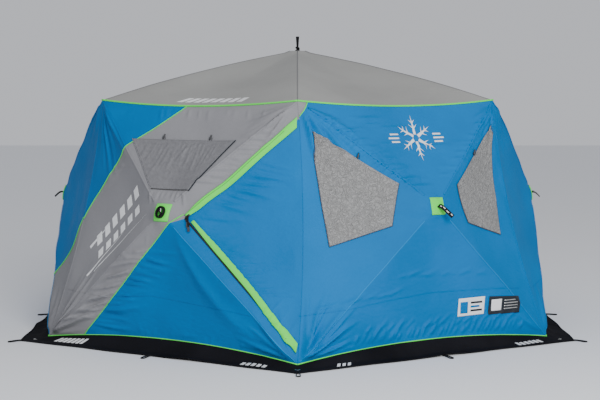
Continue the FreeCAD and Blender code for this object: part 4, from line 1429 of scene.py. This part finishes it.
def bind_centre_cover(wall, outline, body):
    """The zip, hem and grey binding round three sides of the centre cover; the dark hem is partly painted shadow
    under its foot.
    """
    by_height = outline[np.argsort(-outline[:, 1])]
    upper_left, upper_right = sorted(by_height[:2], key=lambda spot: spot[0])
    lower_left, lower_right = sorted(by_height[2:], key=lambda spot: spot[0])
    make_cover_edge("centre_side", wall, upper_right, lower_right, body, 0.0036, INK)
    make_cover_edge("centre_foot", wall, lower_right, lower_left, body)
    make_cover_edge("centre_far", wall, lower_left, upper_left, body, 0.0022, GREY)


def make_windows():
    """Every window's film, its cover, and the toggles and zips round it; the dark cords on the covers' free edges
    are partly painted shadow.
    """
    for seed, (name, (wall, body, toggles)) in enumerate(WINDOWS.items()):
        outline = corners_of(wall, "window_cover_" + name)
        make_window_film(name, wall, body, outline)
        make_window_cover(name, wall, outline, 40 + seed)
        for index, spot in enumerate(toggles):
            toggle = make_toggle("%s_%d" % (name, index + 1), wall, spot, body)
            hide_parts("cover_toggles_" + name)
        grown = inset(outline, -0.003)
        if name == "centre":
            bind_centre_cover(wall, grown, body)
            continue
        # Dark cords along the side covers' free edges: bound edges and painted shadow of those edges on the cloth.
        for index, (start, end) in enumerate(zip(grown, np.roll(grown, -1, 0))):
            if not is_hinge_edge(wall, start, end):
                make_cover_edge("%s_%d" % (name, index), wall, start, end, body)


def is_hinge_edge(wall, start, end):
    """The sewn edge of a side window's cover is the one that slants up to the corner."""
    middle = (np.array(start) + np.array(end)) / 2
    rising = abs(end[1] - start[1]) > 0.15 and abs(end[0] - start[0]) > 0.15
    return rising and middle[1] > wall.hub_s


make_windows()


# ---------------------------------------------------------------- hub patches and pull straps
def tilted_frame(wall, u, s):
    """Outwards, up and right on the cloth at one spot."""
    out = wall.normal(np.array([u]), np.array([s]))[0]
    up = unit(wall.slope - out * (wall.slope @ out))
    return out, up, np.cross(up, out)


# A ribbon's section as (share of its width, share of its thickness), in order round it.
RIBBON_SECTION = ((-0.5, -0.35), (-0.46, -0.5), (0.46, -0.5), (0.5, -0.35),
                  (0.5, 0.35), (0.46, 0.5), (-0.46, 0.5), (-0.5, 0.35))


def ribbon(name, points, side, width, thickness, body, material=STRAP):
    """A closed band along points, its width all one way, that moves with a body."""
    points = np.array(points, float)
    side = unit(np.array(side, float))
    outs = unit(np.cross(unit(np.gradient(points, axis=0)), side))
    vertices = [point + side * width * across + out * thickness * over
                for point, out in zip(points, outs) for across, over in RIBBON_SECTION]
    faces = band_faces(len(points), len(RIBBON_SECTION))
    piece = make_object(name, vertices, faces, material, smooth=False)
    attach(piece, body)
    return piece


def curve_through(points, count):
    """A smooth curve through points (Catmull-Rom)."""
    points = np.array(points, float)
    padded = np.concatenate([[2 * points[0] - points[1]], points, [2 * points[-1] - points[-2]]])
    made = []
    for t in np.linspace(0, len(points) - 1.0001, count):
        i = int(t)
        f = t - i
        a, b, c, d = padded[i:i + 4]
        made.append(0.5 * (2 * b + (c - a) * f + (2 * a - 5 * b + 4 * c - d) * f ** 2
                           + (3 * b - a - 3 * c + d) * f ** 3))
    return np.array(made)


# Patches that were sewn on askew, as (distance along the wall, height), and the others' size.
PATCHES = {
    1: ((-0.047, 0.783), (0.052, 0.783), (0.066, 0.884), (-0.033, 0.884)),
    2: ((-0.018, 0.820), (0.088, 0.820), (0.078, 0.920), (-0.022, 0.920)),
}
PATCH_HALF = 0.050


def make_hub_patch(number, wall):
    """The square patch over a hub and its stitching. Gives the patch's middle."""
    if number in PATCHES:
        outline = np.array(wall.route(PATCHES[number]))
    else:
        outline = np.array([(wall.hub_u + x * PATCH_HALF, wall.hub_s + y * PATCH_HALF)
                            for x, y in ((-1, -1), (1, -1), (1, 1), (-1, 1))])
    patch, flat = stretched_on_wall("hub_patch_%d" % number, wall, outline, GREEN,
                                    0.0035, step=0.008, thickness=0.0022)
    on_wall(patch, flat, wall)
    sewn = inset(outline, 0.007)
    stitches(wall, "patch_stitch_%d" % number, [*sewn, sewn[0]], 0.0042)
    return outline.mean(0)


def stitches(wall, name, route, lift, length=0.0045, gap=0.0035):
    """Short raised threads along a line."""
    line = along_route(route, length + gap)
    flat = []
    faces = []
    for start, end in zip(line[:-1], line[1:]):
        run = unit(end - start)
        side = np.array([-run[1], run[0]]) * 0.0007
        stop = start + run * length
        a = len(flat)
        flat += [start - side, stop - side, stop + side, start + side, (start + stop) / 2]
        faces += [(a, a + 1, a + 4), (a + 1, a + 2, a + 4), (a + 2, a + 3, a + 4),
                  (a + 3, a, a + 4), (a + 3, a + 2, a + 1, a)]
    flat = np.array(flat)
    lifts = lift + np.tile((0.0, 0.0, 0.0, 0.0, 0.0008), len(flat) // 5)
    place = wall.point(flat[:, 0], flat[:, 1], lifts)
    piece = make_object(name, place, faces, THREAD, smooth=False)
    on_wall(piece, flat, wall)


def make_looped_strap(wall, root, out, up, right):
    """The door wall's strap: an upright loop with a folded end and a pale stripe."""
    def spot(rise, aside, off):
        """A place above, right of and off the strap's root."""
        return root + up * rise + right * aside + out * off

    tilt = 0.35
    path = []
    for turn in np.linspace(-0.5 * math.pi, 1.5 * math.pi, 40):
        x, y = 0.023 * math.cos(turn), 0.034 * math.sin(turn)
        path.append(spot(y * math.cos(tilt) - x * math.sin(tilt),
                         x * math.cos(tilt) + y * math.sin(tilt), 0.014))
    strap = ribbon("pull_strap_cloth_1", path, out, 0.024, 0.0060, wall.hub_body)
    bend = curve_through([spot(0.026, 0.004, 0.014), spot(0.008, -0.008, 0.014),
                          spot(-0.008, 0.008, 0.014), spot(-0.026, -0.004, 0.014)], 20)
    ribbon("pull_strap_fold_1", bend, out, 0.020, 0.0045, wall.hub_body)
    tab = curve_through([spot(-0.018, 0.0, 0.004), spot(0.0, 0.0, 0.012),
                         spot(0.022, 0.006, 0.020)], 14)
    ribbon("pull_strap_stripe_1", tab, right, 0.005, 0.0016, wall.hub_body, STRIPE)
    return strap


def make_drooping_strap(number, wall, root, out, lean):
    """A strap that stands out of its patch and droops, with pale marks along it."""
    reach = (0.0, 0.022, 0.042, 0.062, 0.080)
    droop = (0.0, 0.10, 0.45, 0.85, 1.15)
    path = curve_through([root + out * along * 0.62 + lean * along * down
                          for along, down in zip(reach, droop)], 26)
    side = unit(np.cross(path[-1] - path[0], out))
    strap = ribbon("pull_strap_cloth_%d" % number, path, side, 0.026, 0.0060, wall.hub_body)
    over = unit(np.cross(np.gradient(path, axis=0), side))
    over = over * (1 if over[5] @ out > 0 else -1)
    for index, (start, stop) in enumerate(((7, 11), (12, 16), (17, 21), (22, 25))):
        line = (path + over * 0.0034 + side * 0.002 * (-1) ** index)[start:stop]
        ribbon("pull_strap_mark_%d_%d" % (number, index), line, side, 0.0060, 0.0008,
               wall.hub_body, STRIPE)
    return strap


def make_pull_strap(number, wall, spot):
    """The webbing on a wall's hub."""
    out, up, right = tilted_frame(wall, *spot)
    root = wall.point(*spot, 0.004)
    if wall is DOOR_WALL:
        strap = make_looped_strap(wall, root, out, up, right)
    else:
        lean = right * 0.62 - up * 0.80 if wall is WINDOW_WALL else right * 0.15 - up * 0.45
        strap = make_drooping_strap(number, wall, root, out, lean)
    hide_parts("wall_%d_pull_strap" % number)


def make_roof_strap():
    """A webbing loop on the roof hub, knotted at its root."""
    root = np.array([0.0, 0.0, ROOF_TOP + 0.002])
    tall = float(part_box("roof_pull_strap")[1][2]) - root[2] - 0.004
    side = np.array([0.80, 0.60, 0.0])
    width_way = np.array([0.60, -0.80, 0.0])
    turn = np.linspace(0, 1, 40)
    spread = 0.0055 * np.sin(math.pi * turn) + 0.001
    rise = tall * np.sin(math.pi * turn) ** 0.55
    path = [root + UP * max(z, 0.004) + side * (x if t < 0.5 else -x)
            for t, x, z in zip(turn, spread, rise)]
    strap = ribbon("roof_strap_loop", curve_through(path, 60), width_way, 0.018, 0.0028,
                   "roof_hub")
    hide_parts("roof_pull_strap")
    knot = [root + UP * (0.012 + 0.010 * math.sin(a * 0.5)) + side * 0.009 * math.cos(a)
            + width_way * 0.013 * math.sin(a) for a in np.linspace(0, 4 * math.pi, 50)]
    wrap = tube("roof_strap_knot", knot, 0.0048, STRAP)
    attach(wrap, "roof_hub")


for number, wall in WALLS.items():
    middle = make_hub_patch(number, wall)
    make_pull_strap(number, wall, middle)
make_roof_strap()


# ---------------------------------------------------------------- zips and their sliders
def make_zip(name, start, end, node):
    """Coil and stitched tape of a door zip."""
    wall = DOOR_WALL
    strip, _ = raised_strip("zip_tape_" + name, wall, [start, end], 0.011, INK, "zip_tape",
                            lift=0.0006, thickness=0.0012)
    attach(strip, "door_frame")
    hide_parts(node)
    line = along_route([start, end], 0.008)
    coil = tube("zip_coil_" + name, wall.point(line[:, 0], line[:, 1], 0.0025), 0.0018,
                BLACK_METAL)
    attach(coil, "door_frame")


SLIDER_START = 0.024            # a slider's middle from the end of its zip
SLIDER_SIZE = (0.026, 0.016, 0.009)


def make_slider(name, start, end, node, hang, shift):
    """A cast slider on the coil, with a webbing puller that hangs from it."""
    wall = DOOR_WALL
    run = unit(np.array(end) - np.array(start))
    spot = np.array(start) + run * SLIDER_START
    out, up, right = tilted_frame(wall, *spot)
    along = unit(run[0] * right + run[1] * up)
    aside = np.cross(out, along)
    centre = wall.point(*spot, 0.007)
    block = bmesh.new()
    bmesh.ops.create_cube(block, size=1.0)
    bmesh.ops.bevel(block, geom=list(block.edges), offset=0.22, segments=3, profile=0.6,
                    affect="EDGES")
    block.verts.index_update()
    long, wide, tall = SLIDER_SIZE
    vertices = [centre + along * x * long + aside * y * wide * (0.875 - 0.25 * x)
                + out * z * tall for x, y, z in (vertex.co for vertex in block.verts)]
    faces = [[vertex.index for vertex in face.verts] for face in block.faces]
    block.free()
    slider = make_object("slider_" + name, vertices, faces, BLACK_METAL)
    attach(slider, "zip_slider_" + name)
    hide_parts(node)
    top = centre + out * 0.006
    path = curve_through([top, top + out * 0.010 - up * 0.014 + right * shift,
                          top + out * 0.009 - up * hang * 0.55 + right * shift * 1.6,
                          top + out * 0.004 - up * hang + right * shift * 2.0], 20)
    ribbon("puller_" + name, path, right, 0.011, 0.0035, "zip_slider_" + name)
    grip = curve_through(path[-7:] + out * 0.0005, 12)
    ribbon("puller_grip_" + name, grip, right, 0.014, 0.0065, "zip_slider_" + name, PLASTIC)


make_zip("upper", DOOR_TIP, ZIP_UPPER[1], "door_zip_upper")
make_zip("lower", DOOR_TIP, ZIP_LOWER[1], "door_zip_lower")
make_slider("upper", DOOR_TIP, ZIP_UPPER[1], "zip_slider_upper", 0.070, 0.003)
make_slider("lower", DOOR_TIP, ZIP_LOWER[1], "zip_slider_lower", 0.062, 0.009)


# ---------------------------------------------------------------- printed marks and labels
def printed(name, wall, spots, material, lift=0.0016):
    """A flat print on the cloth, from a convex outline of (along, height) spots."""
    mark, flat = stretched_on_wall(name, wall, wall.route(spots), material, lift,
                                   step=0.006, thickness=0.0005)
    on_wall(mark, flat, wall)


def dash_row(name, wall, start, end, tall, count, share=0.62, slant=0.35):
    """Slanted dashes in a row from start to end, each as tall as asked."""
    start = np.array(start)
    step = (np.array(end) - start) / count
    rise = np.array([-step[1], step[0]]) / np.linalg.norm(step) * tall
    lean = unit(step) * tall * slant
    for index in range(count):
        near = start + step * index
        far = near + step * share
        printed("%s_%d" % (name, index + 1), wall,
                [near, far, far + rise + lean, near + rise + lean], WHITE)


def make_prints():
    """Dashes and strokes on the band, and a frost burst with bars on the window wall."""
    wall = DOOR_WALL
    dash_row("band_dashes_high", wall, (-0.585, 0.590), (-0.205, 0.945), 0.062, 6)
    dash_row("band_dashes_low", wall, (-0.545, 0.520), (-0.180, 0.845), 0.046, 6)
    strokes = (
        ((-0.625, 0.405), (-0.335, 0.700), 0.012),
        ((-0.560, 0.440), (-0.130, 0.820), 0.007),
        ((-0.648, 0.570), (-0.500, 0.740), 0.020),
    )
    for index, (start, end, thick) in enumerate(strokes):
        run = unit(np.array(end) - np.array(start))
        side = np.array([-run[1], run[0]]) * thick
        printed("band_stroke_%d" % (index + 1), wall, [start, end, np.array(start) + side], WHITE)
    wall = WINDOW_WALL
    middle = np.array([0.04, 1.268])
    for arm in range(6):
        turn = math.radians(30 + 60 * arm)
        run = np.array([math.cos(turn), math.sin(turn)])
        side = np.array([-run[1], run[0]])
        near = middle + run * 0.020
        tip = middle + run * 0.135
        printed("burst_arm_%d" % (arm + 1), wall,
                [near - side * 0.010, tip, near + side * 0.010], WHITE)
        for branch, (along, size) in enumerate(((0.055, 0.042), (0.088, 0.030))):
            for way in (-1, 1):
                root = middle + run * along
                out = unit(run + side * way * 1.2)
                across = np.array([-out[1], out[0]]) * 0.0045
                printed("burst_twig_%d_%d_%d" % (arm + 1, branch, way + 1), wall,
                        [root - across, root + out * size, root + across], WHITE)
    for way in (-1, 1):
        for row, (height, length) in enumerate(((1.290, 0.060), (1.268, 0.075), (1.246, 0.060))):
            near = middle[0] + way * 0.125
            far = near + way * length
            printed("burst_bar_%d_%d" % (way + 1, row), wall,
                    [(near, height - 0.005), (far, height - 0.005), (far, height + 0.005),
                     (near, height + 0.005)], WHITE)


def make_labels():
    """Two labels with plain marks, low on the window wall."""
    wall = WINDOW_WALL
    white = ((0.205, 0.197), (0.400, 0.200), (0.405, 0.308), (0.212, 0.306))
    black = ((0.432, 0.192), (0.668, 0.186), (0.674, 0.284), (0.438, 0.304))
    printed("label_white", wall, white, WHITE, 0.0030)
    printed("label_black", wall, black, INK, 0.0030)
    marks = (
        (0.225, 0.214, 0.055, 0.070, BLUE), (0.300, 0.222, 0.085, 0.012, INK),
        (0.300, 0.246, 0.065, 0.012, BLUE), (0.300, 0.270, 0.085, 0.012, INK),
        (0.455, 0.212, 0.075, 0.070, WHITE), (0.550, 0.215, 0.100, 0.008, STEEL),
        (0.550, 0.232, 0.100, 0.008, STEEL), (0.550, 0.249, 0.100, 0.008, STEEL),
        (0.550, 0.266, 0.080, 0.008, STEEL),
    )
    for index, (u, z, wide, tall, material) in enumerate(marks):
        printed("label_mark_%d" % (index + 1), wall,
                [(u, z), (u + wide, z), (u + wide, z + tall), (u, z + tall)], material, 0.0038)


make_prints()
make_labels()


# ---------------------------------------------------------------- anchor loops
def make_anchor_loops():
    """Twisted webbing loops on the skirt's corners and side middles."""
    index = 0
    for corner in range(SIDES):
        for kind, radius, turn in (
            ("corner", SKIRT_REACH, -90 + 60 * corner),
            ("side", SKIRT_REACH * math.cos(HALF_SECTOR), -120 + 60 * corner),
        ):
            index += 1
            angle = math.radians(turn)
            out = np.array([math.cos(angle), math.sin(angle), 0.0])
            aside = np.array([-out[1], out[0], 0.0])
            bend = 0.006 * math.sin(index * 2.3)
            start = out * (radius - 0.020) + UP * 0.007
            turns = ((0.0, 0.006, 0), (0.040, bend + 0.008, 0), (0.085, bend + 0.012, 0.003),
                     (0.100, bend, 0.003), (0.085, bend - 0.012, 0.003),
                     (0.040, bend - 0.008, 0), (0.0, -0.006, 0))
            path = curve_through([start + out * far + aside * beside - UP * down
                                  for far, beside, down in turns], 46)
            loop = ribbon("anchor_loop_%s_%d" % (kind, corner + 1), path, UP, 0.007, 0.0030,
                          ROOT)
            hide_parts("anchor_loops")


make_anchor_loops()


# ---------------------------------------------------------------- CAD nodes that stay in view
def paint_cad_nodes():
    """Give the poles, hubs, brackets and grommets their materials."""
    for name, node in frame["nodes"].items():
        if node.hide_render:
            continue
        if "poles" in name:
            material = POLE
        elif "grommets" in name:
            material = STEEL
        else:
            material = PLASTIC
        node.data.materials.clear()
        node.data.materials.append(material)


paint_cad_nodes()


# ---------------------------------------------------------------- stage
WORLD_COLOUR = (0.92, 0.94, 1.0, 1)
WORLD_STRENGTH = 0.64
KEY_PLACE = (2.4, -9.0, 4.4)
KEY_AIM = (0.0, 0.0, 0.9)
KEY_SIZE = 4.4
KEY_POWER = 870
CAMERA_PLACE = (0.0, -9.358, 1.543)
CAMERA_DIP = 0.0792             # radians below level
CAMERA_SHIFT = 0.00417
LENS = 81.81
SENSOR = 36.0


def placed(name, data, place):
    """A lamp or camera in the scene."""
    thing = bpy.data.objects.new(name, data)
    bpy.context.scene.collection.objects.link(thing)
    thing.location = place
    return thing


def make_stage():
    """A pale floor, soft light and the camera."""
    bpy.ops.mesh.primitive_plane_add(size=60)
    floor = bpy.context.object
    floor.name = "studio_floor"
    floor.data.materials.append(Look("floor_pale", (0.80, 0.81, 0.83), 0.9).material)

    world = bpy.data.worlds.new("studio")
    bpy.context.scene.world = world
    world.use_nodes = True
    background = world.node_tree.nodes["Background"]
    background.inputs["Color"].default_value = WORLD_COLOUR
    background.inputs["Strength"].default_value = WORLD_STRENGTH

    lamp = bpy.data.lights.new("key", "AREA")
    lamp.energy = KEY_POWER
    lamp.size = KEY_SIZE
    key = placed("key", lamp, KEY_PLACE)
    aim = Vector(KEY_AIM) - key.location
    key.rotation_euler = aim.to_track_quat("-Z", "Y").to_euler()

    lens = bpy.data.cameras.new("camera")
    lens.lens = LENS
    lens.sensor_width = SENSOR
    lens.shift_x = CAMERA_SHIFT
    camera = placed("camera", lens, CAMERA_PLACE)
    camera.rotation_euler = (math.pi / 2 - CAMERA_DIP, 0.0, 0.0)
    bpy.context.scene.camera = camera


make_stage()


# ---------------------------------------------------------------- finish
bpy.context.view_layer.update()
